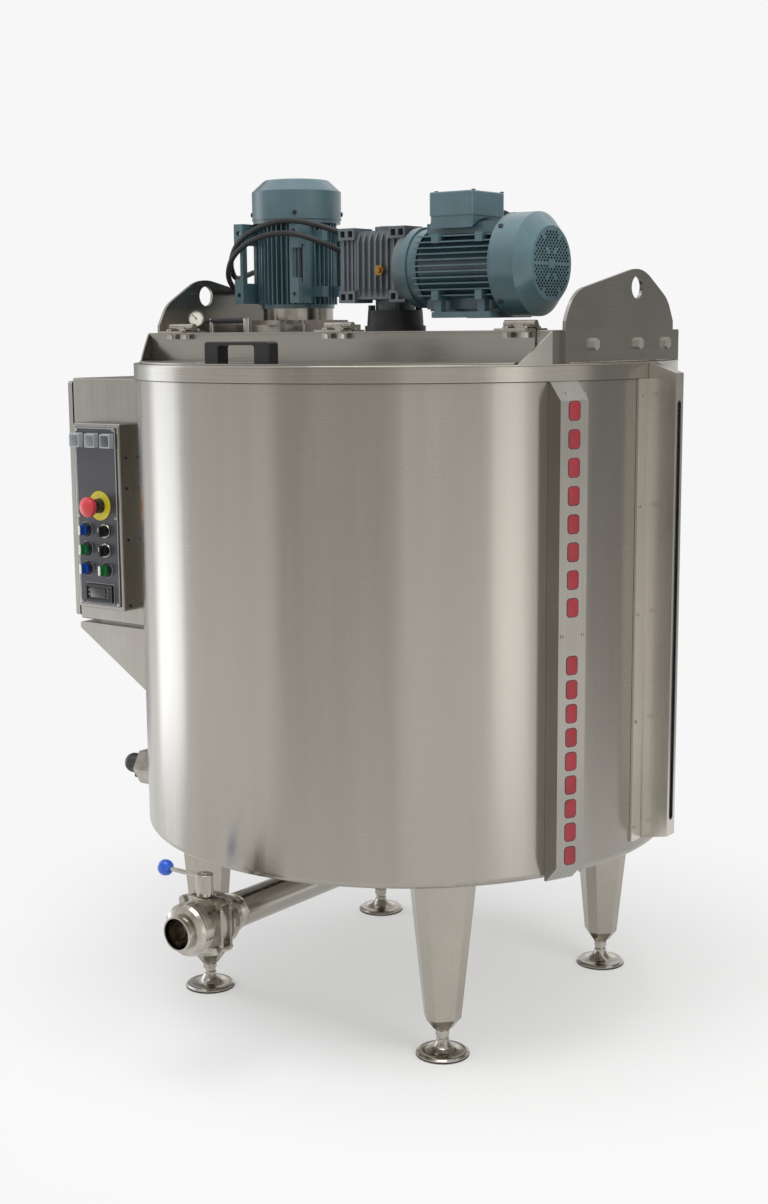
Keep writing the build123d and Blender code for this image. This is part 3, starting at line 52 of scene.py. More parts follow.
log = logging.getLogger("mixing_tank")
MM = 0.001
FULL_TURN = 2 * math.pi
MERGED_WITHIN = 0.01 * MM
SMOOTH_BELOW = 35.0  # degrees
WELD_SIDES = 10


# Numbers and meshes


def linear(hex_colour: str) -> tuple[float, float, float, float]:
    """Turns an sRGB hex colour into the linear colour that shaders take.

    Args:
        hex_colour: the colour as "#rrggbb".

    Returns:
        Red, green, blue and alpha, from 0 to 1.
    """
    srgb = np.array([int(hex_colour[i : i + 2], 16) for i in (1, 3, 5)]) / 255
    light = np.where(srgb <= 0.04045, srgb / 12.92, ((srgb + 0.055) / 1.055) ** 2.4)
    return (*light.tolist(), 1.0)


def unit(vector: tuple | np.ndarray) -> np.ndarray:
    """Returns the vector at length one."""
    array = np.asarray(vector, float)
    return array / np.linalg.norm(array)


def round_angles(sides: int) -> np.ndarray:
    """Returns evenly spaced angles once round, in radians."""
    return np.linspace(0, FULL_TURN, sides, endpoint=False)


@dataclass(frozen=True)
class Place:
    """Where a piece sits: its middle, the way it faces and what is level on it."""

    middle: Point
    out: Point
    level: Point

    def axes(self) -> tuple[np.ndarray, np.ndarray, np.ndarray]:
        """Returns the level, upright and outward unit vectors, a right-handed set."""
        out = unit(self.out)
        level = np.asarray(self.level, float)
        level = unit(level - out * (level @ out))
        return level, np.cross(out, level), out

    def points(self, local: np.ndarray) -> np.ndarray:
        """Moves points from the piece's own axes, level, upright and outward, to the tank's."""
        return np.asarray(self.middle, float) + np.asarray(local, float) @ np.array(self.axes())


class Facing(Enum):
    """The sides that a fitting can face, each as its outward and its level direction."""

    FRONT = ((0, -1, 0), (1, 0, 0))
    BACK = ((0, 1, 0), (-1, 0, 0))
    RIGHT = ((1, 0, 0), (0, 1, 0))
    LEFT = ((-1, 0, 0), (0, -1, 0))
    UP = ((0, 0, 1), (1, 0, 0))

    def at(self, x: float, y: float, z: float) -> Place:
        """Returns a place that faces this side, from millimetres."""
        return Place((MM * x, MM * y, MM * z), *self.value)


@dataclass(frozen=True)
class Surface:
    """Points and the faces between them."""

    points: np.ndarray
    faces: tuple[tuple[int, ...], ...]

    def placed(self, place: Place) -> "Surface":
        """Returns the surface moved from its own axes to a place on the tank."""
        return Surface(place.points(self.points), self.faces)

    def capped(self, count: int) -> "Surface":
        """Closes the first and the last row of points.

        Args:
            count: points in a row.

        Returns:
            The surface with one face over each end.
        """
        last = len(self.points) - count
        ends = (tuple(range(count - 1, -1, -1)), tuple(range(last, last + count)))
        return Surface(self.points, self.faces + ends)


def joined(surfaces: list[Surface]) -> Surface:
    """Puts several surfaces into one.

    Args:
        surfaces: the surfaces, in order.

    Returns:
        One surface with the faces renumbered.
    """
    counts = np.cumsum([0] + [len(s.points) for s in surfaces])
    faces = tuple(
        tuple(int(i + start) for i in face)
        for s, start in zip(surfaces, counts)
        for face in s.faces
    )
    return Surface(np.concatenate([s.points for s in surfaces]), faces)


def ring_faces(rows: int, columns: int) -> tuple[tuple[int, ...], ...]:
    """Numbers the quads of a grid of points whose last column meets its first.

    Args:
        rows: points along the first parameter.
        columns: points along the second parameter.

    Returns:
        One tuple of four point numbers for each quad.
    """
    row, column = np.meshgrid(np.arange(rows - 1), np.arange(columns), indexing="ij")
    after = (column + 1) % columns
    corners = ((row, column), (row, after), (row + 1, after), (row + 1, column))
    quads = np.stack([down * columns + along for down, along in corners], -1)
    return tuple(map(tuple, quads.reshape(-1, 4).tolist()))


def turned(profile: Pairs, sides: int) -> Surface:
    """Turns a profile about the outward axis.

    A point at radius r and height h goes to (r cos t, r sin t, h) as t goes once round.

    Args:
        profile: radius and height pairs, in metres.
        sides: points round the turn.

    Returns:
        The turned surface.
    """
    t = round_angles(sides)
    radius, height = np.array(profile, float).T[:, :, None]
    points = np.stack([radius * np.cos(t), radius * np.sin(t), height + 0 * t], -1)
    return Surface(points.reshape(-1, 3), ring_faces(len(profile), sides))


def hoop(profile: Pairs, sides: int) -> Surface:
    """Turns a closed profile into a ring, from radius and height pairs in millimetres."""
    return turned([(MM * radius, MM * height) for radius, height in profile + profile[:1]], sides)


def rounded_outline(width: float, height: float, radius: float, steps: int = 5) -> np.ndarray:
    """Draws a rectangle with rounded corners.

    Each corner is a quarter of a circle whose centre lies in from both sides by its radius.

    Args:
        width: the whole width, in millimetres.
        height: the whole height, in millimetres.
        radius: the corner radius, in millimetres.
        steps: points along each corner.

    Returns:
        Points in order, each with the outward direction beside it: x, y, nx, ny.
    """
    width, height, radius = width * MM, height * MM, radius * MM
    t = np.linspace(0, math.pi / 2, steps)
    turns = (np.arange(4) * math.pi / 2)[:, None] + t
    signs = np.array([(1, 1), (-1, 1), (-1, -1), (1, -1)], float)[:, None]
    centre = signs * (np.array([width, height]) / 2 - radius)
    normal = np.stack([np.cos(turns), np.sin(turns)], -1)
    return np.concatenate([centre + radius * normal, normal], -1).reshape(-1, 4)


def round_outline(radius: float, sides: int = 32) -> np.ndarray:
    """Draws a circle of a radius in millimetres, as a rounded outline's x, y, nx, ny."""
    normal = np.stack([np.cos(round_angles(sides)), np.sin(round_angles(sides))], -1)
    return np.concatenate([radius * MM * normal, normal], -1)


def layered(outline: np.ndarray, levels: Pairs) -> Surface:
    """Repeats an outline at several levels and joins each to the next.

    At each level the outline's points move out or in along their own directions.

    Args:
        outline: x, y, nx, ny of each point.
        levels: growth and height pairs, in millimetres.

    Returns:
        The surface through all the levels, open at both ends.
    """
    growth, height = np.array(levels, float).T * MM
    flat = outline[None, :, :2] + growth[:, None, None] * outline[None, :, 2:]
    rise = np.broadcast_to(height[:, None, None], (*flat.shape[:2], 1))
    points = np.concatenate([flat, rise], -1).reshape(-1, 3)
    return Surface(points, ring_faces(len(levels), len(outline)))


def carried(outline: np.ndarray, section: Pairs) -> Surface:
    """Carries a closed section round an outline, so that its last row meets its first."""
    return layered(outline, section + section[:1])


def half_round(width: float, height: float) -> Pairs:
    """Draws a bead's section: half the width times cos t across, the height times sin t up."""
    t = np.linspace(0, math.pi, 7)
    return list(zip((width / 2 * np.cos(t)).tolist(), (height * np.sin(t)).tolist()))


def oval(radius: float, height: float, half_width: float, half_height: float, sides: int) -> Pairs:
    """Draws an oval section about a point of a profile.

    It lies out by the half width times cos t, and up by the half height times sin t.

    Args:
        radius: the middle's radius.
        height: the middle's height.
        half_width: how far it reaches across.
        half_height: how far it reaches up.
        sides: points round it.

    Returns:
        Radius and height pairs.
    """
    t = round_angles(sides)
    return list(zip(radius + half_width * np.cos(t), height + half_height * np.sin(t)))


def slab(outline: np.ndarray, low: float, high: float, edge: float) -> Surface:
    """Makes a plate from an outline, with an outer edge of quarter-circle section.

    Args:
        outline: x, y, nx, ny of each point.
        low: the height of its back, in millimetres.
        high: the height of its face, in millimetres.
        edge: the edge's radius, in millimetres.

    Returns:
        The plate, closed at both ends.
    """
    t = np.linspace(0, math.pi / 2, 4)
    rounding = [(edge * (math.cos(a) - 1), high - edge + edge * math.sin(a)) for a in t]
    return layered(outline, [(0.0, low)] + rounding).capped(len(outline))


def weld_bead(start: Point, end: Point, radius: float, pitch: float) -> Surface:
    """Lays a level weld bead between two points, in metres.

    Its section is a circle whose radius swells and shrinks by a sixth as a sine of the
    way along, once for each ripple, and falls to nearly nothing at both ends.

    Args:
        start: where the bead starts.
        end: where it ends.
        radius: its middle radius.
        pitch: the length of one ripple.

    Returns:
        The bead's surface.
    """
    run = np.asarray(end, float) - np.asarray(start, float)
    length = float(np.linalg.norm(run))
    way = np.linspace(0, length, max(8, int(length / pitch * 5)))
    swell = radius * (1 + np.sin(FULL_TURN * way / pitch) / 6)
    swell[0] = swell[-1] = radius * 0.05
    bead = turned(list(zip(swell, way)), WELD_SIDES).capped(WELD_SIDES)
    return bead.placed(Place(start, tuple(run), (0.0, 0.0, 1.0)))


def compass(azimuth: float) -> tuple[np.ndarray, np.ndarray]:
    """Returns the outward and level directions at degrees round from the front to the right."""
    a = math.radians(azimuth)
    return np.array([math.sin(a), -math.cos(a), 0.0]), np.array([math.cos(a), math.sin(a), 0.0])


class Recess(Enum):
    """The driver's recess in a screw's head."""

    HEX = "hex"
    CROSS = "cross"

    def reach(self, t: np.ndarray) -> np.ndarray:
        """Says how far the recess reaches at each angle, as a share of its radius.

        A hexagon's side lies at cos 30 over the cosine of the angle from the side's
        middle. A cross is its full radius along its arms and as near as its arms are
        wide between them.

        Args:
            t: angles round the head, in radians.

        Returns:
            One share for each angle.
        """
        if self is Recess.HEX:
            return math.cos(math.pi / 6) / np.cos(t % (math.pi / 3) - math.pi / 6)
        between = np.minimum(np.abs(np.sin(t)), np.abs(np.cos(t)))
        return np.minimum(1.0, 0.3 / np.maximum(0.2, between))


@dataclass(frozen=True)
class Screw:
    """The head of a screw, in millimetres."""

    radius: float
    height: float
    recess: Recess = Recess.HEX
    sides: int = 24

    def surface(self) -> Surface:
        """Turns the head's dome and sinks the recess into it, as rings of points on a grid.

        Returns:
            The head, with its seat at height 0.
        """
        r, h = MM * self.radius, MM * self.height
        t = round_angles(self.sides)
        full = np.ones(self.sides)
        cut = self.recess.reach(t)
        rings = (
            (0.0, 0.0, full),
            (r, 0.0, full),
            (r, 0.45 * h, full),
            (0.93 * r, 0.8 * h, full),
            (0.72 * r, h, full),
            (0.52 * r, h, cut),
            (0.48 * r, 0.35 * h, cut),
            (0.0, 0.35 * h, full),
        )
        points = [
            np.stack([radius * reach * np.cos(t), radius * reach * np.sin(t), 0 * t + up], -1)
            for radius, up, reach in rings
        ]
        return Surface(np.concatenate(points), ring_faces(len(rings), self.sides))

    def at(self, places: list[Place]) -> Surface:
        """Returns one surface with a head at every place."""
        head = self.surface()
        return joined([head.placed(place) for place in places])


def add_object(name: str, data: bpy.types.ID) -> bpy.types.Object:
    """Puts a new object with its data into the scene.

    Args:
        name: the object's name.
        data: its mesh, curve, camera or lamp.

    Returns:
        The object, at the origin and unturned.
    """
    thing = bpy.data.objects.new(name, data)
    bpy.context.scene.collection.objects.link(thing)
    return thing


def add_mesh(name: str, surface: Surface, material: bpy.types.Material) -> bpy.types.Object:
    """Puts a surface into the scene as a smooth mesh.

    Args:
        name: the object's name.
        surface: its points and faces in the tank's frame.
        material: what it wears.

    Returns:
        The object.
    """
    mesh = bpy.data.meshes.new(name)
    mesh.from_pydata(surface.points.tolist(), [], surface.faces)
    mesh.shade_smooth()
    mesh.materials.append(material)
    return add_object(name, mesh)


# Finishes


def add_node(
    tree: bpy.types.NodeTree,
    kind: str,
    settings: dict | None = None,
    links: dict | None = None,
) -> bpy.types.Node:
    """Adds one node with its settings and links.

    Args:
        tree: the node tree.
        kind: the node's type name, without the ShaderNode that starts it.
        settings: properties, or input values under the input's name or number.
        links: what each input reads, under its name or number. A node stands for its
            first output.

    Returns:
        The node.
    """
    node = tree.nodes.new("ShaderNode" + kind)
    for key, value in (settings or {}).items():
        if isinstance(key, int) or key in node.inputs:
            node.inputs[key].default_value = value
        else:
            setattr(node, key, value)
    for key, source in (links or {}).items():
        output = source.outputs[0] if isinstance(source, bpy.types.Node) else source
        tree.links.new(output, node.inputs[key])
    return node


def set_stops(colours: bpy.types.ColorRamp, stops: list[tuple[float, str]]) -> None:
    """Gives a range of colours its stops.

    Args:
        colours: the range, with its first two stops.
        stops: positions and hex colours, in order.
    """
    while len(colours.elements) < len(stops):
        colours.elements.new(1.0)
    for element, (position, colour) in zip(colours.elements, stops):
        element.position = position
        element.color = linear(colour)


def empty_material(
    name: str,
) -> tuple[bpy.types.Material, bpy.types.NodeTree, bpy.types.NodeSocket]:
    """Makes a material with no shader yet.

    Args:
        name: the material's name.

    Returns:
        The material, its tree and the Object coordinates in it.
    """
    material = bpy.data.materials.new(name)
    material.use_nodes = True
    tree = material.node_tree
    tree.nodes.clear()
    return material, tree, add_node(tree, "TexCoord").outputs["Object"]


class Grain(Enum):
    """Which way a brushed surface's lines run, as lines to the metre along X, Y and Z.

    At 900 to the metre a line is about 1.1 mm wide, and at 7 about 140 mm long.
    """

    HOOP = (7.0, 7.0, 900.0)
    UPRIGHT = (900.0, 900.0, 7.0)
    ACROSS = (7.0, 900.0, 900.0)
    DEEP = (900.0, 7.0, 900.0)

    def patches(self, upright: float, even: float) -> Point:
        """Says how many patches of tone, or waves, a sheet has to the metre.

        Args:
            upright: how many along Z on the rolled jacket, where they stand upright.
            even: how many each way on any other sheet.

        Returns:
            Patches to the metre along X, Y and Z.
        """
        return (16.0, 16.0, upright) if self is Grain.HOOP else (even, even, even)


@dataclass(frozen=True)
class Finish:
    """A material whose patterns are nodes on Object coordinates."""

    name: str

    def build(self) -> bpy.types.Material:
        """Makes the material.

        Returns:
            The material, with its patterns linked to one Principled shader.
        """
        material, tree, place = empty_material(self.name)
        settings, links = self.patterns(tree, place)
        shader = add_node(tree, "BsdfPrincipled", settings, links)
        add_node(tree, "OutputMaterial", links={"Surface": shader})
        return material

    def patterns(self, tree: bpy.types.NodeTree, place: bpy.types.NodeSocket) -> tuple[dict, dict]:
        """Adds the finish's patterns.

        Args:
            tree: the material's tree.
            place: the Object coordinates.

        Returns:
            The shader's settings and what its inputs read.
        """
        raise NotImplementedError

    @staticmethod
    def stretched(
        tree: bpy.types.NodeTree,
        place: bpy.types.NodeSocket,
        per_metre: Point,
        detail: float,
        roughness: float = 0.5,
    ) -> bpy.types.Node:
        """Adds a noise whose grain differs along X, Y and Z, by scaling its coordinates.

        Args:
            tree: the material's tree.
            place: the Object coordinates.
            per_metre: how many grains fit in a metre each way.
            detail: the noise's detail.
            roughness: the noise's roughness.

        Returns:
            The noise.
        """
        scaled = add_node(tree, "Mapping", {"Scale": per_metre}, {"Vector": place})
        settings = {"Scale": 1.0, "Detail": detail, "Roughness": roughness}
        return add_node(tree, "TexNoise", settings, {"Vector": scaled})

    @staticmethod
    def blended(
        tree: bpy.types.NodeTree, fine: bpy.types.Node, coarse: bpy.types.Node, share: float
    ) -> bpy.types.Node:
        """Adds a tone: a share of the fine pattern, and of the coarse one what is left of 1.

        Args:
            tree: the material's tree.
            fine: the fine pattern.
            coarse: the coarse pattern.
            share: the fine pattern's share.

        Returns:
            The tone.
        """
        rest = add_node(tree, "Math", {"operation": "MULTIPLY", 1: 1.0 - share}, {0: coarse})
        return add_node(tree, "Math", {"operation": "MULTIPLY_ADD", 1: share}, {0: fine, 2: rest})

    @staticmethod
    def toned(
        tree: bpy.types.NodeTree,
        tone: bpy.types.Node,
        stops: list[tuple[float, str]],
        span: tuple[float, float],
        rough: tuple[float, float],
    ) -> dict[str, bpy.types.Node]:
        """Adds the colour and the roughness that follow a tone.

        Args:
            tree: the material's tree.
            tone: the tone.
            stops: tones and hex colours.
            span: the tones at which the roughness starts and ends.
            rough: the roughness at each of them.

        Returns:
            The two nodes, under the names of the shader's inputs.
        """
        colour = add_node(tree, "ValToRGB", links={"Fac": tone})
        set_stops(colour.color_ramp, stops)
        names = ("From Min", "From Max", "To Min", "To Max")
        roughness = add_node(tree, "MapRange", dict(zip(names, span + rough)), {"Value": tone})
        return {"Base Color": colour, "Roughness": roughness}


@dataclass(frozen=True)
class BrushedStainless(Finish):
    """AISI 304 sheet brushed with a belt.

    The belt leaves fine lines a few hundredths of a millimetre apart, drawn here about
    1 mm apart so that they show. Light spreads across the lines and stays narrow along
    them, and the sheet's slight waves bend the broad reflections into upright bands.
    """

    colour: str = "#a8a59e"
    dark: str = "#97948d"
    roughness: float = 0.24
    grain: Grain = Grain.UPRIGHT
    anisotropy: float = 0.55
    line_share: float = 0.5
    line_height: float = 0.00001
    wave: float = 0.0006

    def patterns(self, tree: bpy.types.NodeTree, place: bpy.types.NodeSocket) -> tuple[dict, dict]:
        """Adds the brushed lines, the clouds of tone and the sheet's waves.

        Args:
            tree: the material's tree.
            place: the Object coordinates.

        Returns:
            The shader's settings and what its inputs read.
        """
        lines = self.stretched(tree, place, self.grain.value, 3.0, 0.6)
        clouds = self.stretched(tree, place, self.grain.patches(1.2, 5.0), 4.0, 0.55)
        waves = self.stretched(tree, place, self.grain.patches(0.5, 6.0), 2.5)
        tone = self.blended(tree, lines, clouds, self.line_share)
        stops = [(0.32, self.dark), (0.66, self.colour)]
        rough = (self.roughness * 0.85, self.roughness * 1.2)
        links = self.toned(tree, tone, stops, (0.3, 0.7), rough)
        depth = {"Strength": 1.0, "Distance": self.wave}
        sheet = add_node(tree, "Bump", depth, {"Height": waves})
        depth = {"Strength": 1.0, "Distance": self.line_height}
        links["Normal"] = add_node(tree, "Bump", depth, {"Height": lines, "Normal": sheet})
        settings = {"Metallic": 1.0, "Anisotropic": self.anisotropy}
        if self.grain is Grain.HOOP:
            settings["Anisotropic Rotation"] = 0.25
            links["Tangent"] = add_node(tree, "Tangent", {"direction_type": "RADIAL", "axis": "Z"})
        return settings, links


@dataclass(frozen=True)
class PolishedStainless(Finish):
    """Turned and buffed AISI 304 fittings, bright with faint turning marks and smears.

    Smears are about 26 mm across, and the turning marks, finer in the real thing, 2.4 mm.
    """

    colour: str = "#bcb7ae"
    dark: str = "#9d988f"
    roughness: float = 0.13
    smears_per_metre: float = 38.0
    marks_per_metre: float = 420.0
    mark_height: float = 0.00001

    def patterns(self, tree: bpy.types.NodeTree, place: bpy.types.NodeSocket) -> tuple[dict, dict]:
        """Adds the smears and the turning marks.

        Args:
            tree: the material's tree.
            place: the Object coordinates.

        Returns:
            The shader's settings and what its inputs read.
        """
        noise = {"Scale": self.smears_per_metre, "Detail": 5.0, "Roughness": 0.6, "Distortion": 0.3}
        smears = add_node(tree, "TexNoise", noise, {"Vector": place})
        noise = {"Scale": self.marks_per_metre, "Detail": 2.0}
        marks = add_node(tree, "TexNoise", noise, {"Vector": place})
        stops = [(0.3, self.dark), (0.65, self.colour)]
        rough = (self.roughness * 0.7, self.roughness * 1.7)
        links = self.toned(tree, smears, stops, (0.3, 0.7), rough)
        depth = {"Strength": 1.0, "Distance": self.mark_height}
        links["Normal"] = add_node(tree, "Bump", depth, {"Height": marks})
        return {"Metallic": 1.0}, links


@dataclass(frozen=True)
class Coated(Finish):
    """A coloured skin, such as paint, moulded plastic or rubber.

    Its tone drifts a little in patches of about 70 mm, darkest in the low spots of its
    texture, and a fine relief of the given grain breaks up the shine.
    """

    colour: str
    dark: str
    roughness: float
    grain_mm: float
    relief_mm: float
    ior: float = 1.5
    metallic: float = 0.0
    coat: float = 0.0
    patches_per_metre: float = 14.0
    grain_share: float = 0.35

    def patterns(self, tree: bpy.types.NodeTree, place: bpy.types.NodeSocket) -> tuple[dict, dict]:
        """Adds the skin's grain and its drift of tone.

        Args:
            tree: the material's tree.
            place: the Object coordinates.

        Returns:
            The shader's settings and what its inputs read.
        """
        noise = {"Scale": self.patches_per_metre, "Detail": 4.0, "Roughness": 0.6}
        drift = add_node(tree, "TexNoise", noise, {"Vector": place})
        noise = {"Scale": 1.0 / (self.grain_mm * MM), "Detail": 2.0, "Roughness": 0.5}
        skin = add_node(tree, "TexNoise", noise, {"Vector": place})
        tone = self.blended(tree, skin, drift, self.grain_share)
        stops = [(0.36, self.dark), (0.58, self.colour)]
        rough = (min(1.0, self.roughness * 1.15), self.roughness * 0.88)
        links = self.toned(tree, tone, stops, (0.35, 0.65), rough)
        depth = {"Strength": 1.0, "Distance": self.relief_mm * MM}
        links["Normal"] = add_node(tree, "Bump", depth, {"Height": skin})
        coat = {"Coat Weight": self.coat, "Coat Roughness": 0.2}
        return {"IOR": self.ior, "Metallic": self.metallic} | coat, links


@dataclass(frozen=True)
class TubeGlass(Finish):
    """Borosilicate gauge glass, clear with a faint smoky cast and smears of about 17 mm."""

    colour: str = "#c9d2d2"
    smears_per_metre: float = 60.0

    def patterns(self, tree: bpy.types.NodeTree, place: bpy.types.NodeSocket) -> tuple[dict, dict]:
        """Adds the smears.

        Args:
            tree: the material's tree.
            place: the Object coordinates.

        Returns:
            The shader's settings and what its inputs read.
        """
        noise = {"Scale": self.smears_per_metre, "Detail": 3.0}
        smears = add_node(tree, "TexNoise", noise, {"Vector": place})
        span = {"From Min": 0.3, "From Max": 0.7, "To Min": 0.03, "To Max": 0.12}
        rough = add_node(tree, "MapRange", span, {"Value": smears})
        clear = {"IOR": 1.47, "Transmission Weight": 0.9}
        return {"Base Color": linear(self.colour)} | clear, {"Roughness": rough}


@dataclass(frozen=True)
class StopLabel(Finish):
    """Printed polyester ring under the stop button, with a dark nut at its middle.

    The colour changes at a fixed distance from the button's axis, and the print has a
    faint grain of about 3 mm.
    """

    middle: tuple[float, float]
    nut_radius: float
    yellow: str = "#d9cc2a"
    dark_yellow: str = "#cbbd22"
    nut: str = "#2d2b2f"
    grains_per_metre: float = 300.0
    grain_height: float = 0.00003

    def patterns(self, tree: bpy.types.NodeTree, place: bpy.types.NodeSocket) -> tuple[dict, dict]:
        """Adds the ring's yellow, the nut's dark middle and the print's grain.

        Args:
            tree: the material's tree.
            place: the Object coordinates.

        Returns:
            The shader's settings and what its inputs read.
        """
        axis = (self.middle[0], 0.0, self.middle[1])
        off = add_node(tree, "VectorMath", {"operation": "SUBTRACT", 1: axis}, {0: place})
        flat = add_node(tree, "VectorMath", {"operation": "MULTIPLY", 1: (1.0, 0.0, 1.0)}, {0: off})
        reach = add_node(tree, "VectorMath", {"operation": "LENGTH"}, {0: flat}).outputs["Value"]
        beyond = {"operation": "GREATER_THAN", 1: self.nut_radius}
        on_ring = add_node(tree, "Math", beyond, {0: reach})
        noise = {"Scale": self.grains_per_metre, "Detail": 2.0}
        grain = add_node(tree, "TexNoise", noise, {"Vector": place})
        yellow = add_node(tree, "ValToRGB", links={"Fac": grain})
        set_stops(yellow.color_ramp, [(0.3, self.dark_yellow), (0.7, self.yellow)])
        mix = {"data_type": "RGBA", 6: linear(self.nut)}
        colour = add_node(tree, "Mix", mix, {0: on_ring, 7: yellow}).outputs[2]
        depth = {"Strength": 1.0, "Distance": self.grain_height}
        relief = add_node(tree, "Bump", depth, {"Height": grain})
        return {"Roughness": 0.45}, {"Base Color": colour, "Normal": relief}


RECIPES = (
    BrushedStainless(
        "jacket_steel",
        colour="#aba79f",
        dark="#a19d95",
        grain=Grain.HOOP,
        anisotropy=0.93,
        roughness=0.25,
        line_share=0.3,
        line_height=0.000002,
        wave=0.0005,
    ),
    BrushedStainless(
        "rim_steel", colour="#b0aca3", dark="#a19d94", grain=Grain.HOOP, roughness=0.22
    ),
    BrushedStainless("upright_steel", wave=0.0003),
    BrushedStainless("level_steel", grain=Grain.ACROSS, wave=0.0003),
    BrushedStainless("deep_steel", grain=Grain.DEEP, wave=0.0003),
    # Painted light: a lighter copy of the upright steel for the gauge housing, standing in for a
    # brighter reflection on its sides.
    BrushedStainless("housing_steel", colour="#d2cec6", dark="#c6c2ba", wave=0.0003),
    BrushedStainless("leg_steel", colour="#b1aca1", dark="#a29d92", wave=0.0002),
    BrushedStainless(
        "pipe_steel",
        colour="#b3afa7",
        dark="#a5a199",
        grain=Grain.DEEP,
        roughness=0.17,
        anisotropy=0.3,
        wave=0.0001,
    ),
    PolishedStainless("polished_steel"),
    PolishedStainless("bolt_steel", colour="#ebe7df", dark="#dcd8cf"),
    PolishedStainless("weld_steel", colour="#b9b1a2", dark="#8c8375", roughness=0.22),
    Coated("motor_paint", "#516d76", "#445e66", 0.27, 1.6, 0.04, coat=0.5),
    Coated("cast_aluminium", "#70787c", "#5b6266", 0.4, 1.2, 0.1, metallic=0.4),
    Coated("dark_casting", "#313234", "#242527", 0.5, 1.5, 0.15),
    Coated("black_plastic", "#1d1d1f", "#141416", 0.38, 0.6, 0.02),
    Coated("slate_panel", "#3b3c42", "#34353a", 0.35, 0.5, 0.01, coat=0.2),
    Coated("grey_plastic", "#b2b6b9", "#9fa3a7", 0.35, 0.6, 0.02),
    Coated("border_foil", "#b6b8ba", "#a5a7aa", 0.4, 0.6, 0.01),
    Coated("lamp_lens", "#73797b", "#64696c", 0.25, 0.8, 0.02, coat=0.3),
    Coated("dark_lens", "#4a4d55", "#3e4148", 0.22, 0.8, 0.02, coat=0.3),
    Coated("display_glass", "#1a1d20", "#121416", 0.12, 0.8, 0.002, coat=0.6),
    Coated("red_plastic", "#d8464c", "#c23a41", 0.35, 0.6, 0.02),
    Coated("blue_plastic", "#1d4aa6", "#173e90", 0.3, 0.6, 0.02),
    Coated("knob_blue", "#1f5bd0", "#184fbb", 0.22, 0.8, 0.01, coat=0.3),
    Coated("green_plastic", "#1f7a3d", "#186532", 0.3, 0.6, 0.02),
    Coated("white_plastic", "#e4e4e0", "#d6d6d2", 0.35, 0.6, 0.02),
    Coated("red_insert", "#96222e", "#7f1c26", 0.45, 0.8, 0.02),
    Coated("brass", "#ad8350", "#8c683e", 0.32, 1.0, 0.02, metallic=1.0),
    Coated("cable_rubber", "#1f2022", "#151618", 0.5, 1.2, 0.04),
    Coated("seal_rubber", "#26272a", "#1b1c1e", 0.6, 1.0, 0.04),
    Coated("silicone_seal", "#a3a09a", "#94918b", 0.45, 1.0, 0.03),
    Coated("dial_white", "#ecebdc", "#e2e1d0", 0.4, 0.8, 0.01),
    TubeGlass("gauge_glass"),
    StopLabel("stop_label", middle=(-0.653, 0.904), nut_radius=0.0155),
)


@dataclass(frozen=True)
class Finishes:
    """Every finish of the tank, by name."""

    materials: dict[str, bpy.types.Material]

    @classmethod
    def mixed(cls) -> "Finishes":
        """Builds all the finishes.

        Returns:
            The finishes by name.
        """
        materials = {}
        for recipe in RECIPES:
            materials[recipe.name] = recipe.build()
            log.info("finish %s", recipe.name)
        return cls(materials)

    def dress(self, finish: str, *nodes: str) -> None:
        """Gives CAD nodes a finish.

        Args:
            finish: the finish's name.
            nodes: the nodes that wear it.
        """
        for name in nodes:
            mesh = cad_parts[name].data
            mesh.materials.clear()
            mesh.materials.append(self.materials[finish])

    def piece(
        self,
        name: str,
        surface: Surface,
        finish: str,
        body: str = "root",
        smooth_below: float = SMOOTH_BELOW,
    ) -> None:
        """Puts a surface into the scene as one piece that rides on a body.

        Args:
            name: the piece's name.
            surface: its points and faces in the tank's frame.
            finish: its finish.
            body: the body that carries it.
            smooth_below: the angle past which an edge stays sharp, in degrees.
        """
        piece = add_mesh(name, surface, self.materials[finish])
        mesh = piece.data
        work = bmesh.new()
        work.from_mesh(mesh)
        bmesh.ops.remove_doubles(work, verts=work.verts, dist=MERGED_WITHIN)
        bmesh.ops.recalc_face_normals(work, faces=work.faces)
        work.to_mesh(mesh)
        work.free()
        mesh.set_sharp_from_angle(angle=math.radians(smooth_below))
        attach(piece, body)
        log.info("piece %s: %d faces on %s", name, len(mesh.polygons), body)


# The studio


@dataclass(frozen=True)
class WallPanel:
    """One upright panel of the studio wall, lighter or darker than the wall, in degrees."""

    name: str
    azimuth: float
    half_width: float
    colour: str
    edge: float = 7.0

    def stops(self, wall_colour: str) -> list[tuple[float, str]]:
        """Gives the panel's stops, which fade into the wall over its two edges.

        Args:
            wall_colour: the wall's own colour.

        Returns:
            Position and colour pairs, the position being the azimuth over 360 plus a half.
        """
        outer = self.half_width + self.edge
        marks = (
            (-outer, wall_colour),
            (-self.half_width, self.colour),
            (self.half_width, self.colour),
            (outer, wall_colour),
        )
        return [((self.azimuth + turn) / 360 + 0.5, colour) for turn, colour in marks]


@dataclass(frozen=True)
class SoftBox:
    """A rectangular soft box: its place, width and height in metres, its power in watts."""

    name: str
    at: Point
    size: tuple[float, float]
    watts: float
    tint: str
    mirrored: bool

    def build(self, aim: Point) -> None:
        """Hangs the soft box, facing a point.

        Args:
            aim: the point that it faces.
        """
        data = bpy.data.lights.new(self.name, "AREA")
        data.shape = "RECTANGLE"
        data.size, data.size_y = self.size
        data.energy = self.watts
        data.color = linear(self.tint)[:3]
        lamp = add_object(self.name, data)
        lamp.visible_camera = False
        lamp.visible_glossy = self.mirrored
        turn = (Vector(aim) - Vector(self.at)).to_track_quat("-Z", "Y").to_matrix().to_4x4()
        lamp.matrix_world = Matrix.Translation(self.at) @ turn


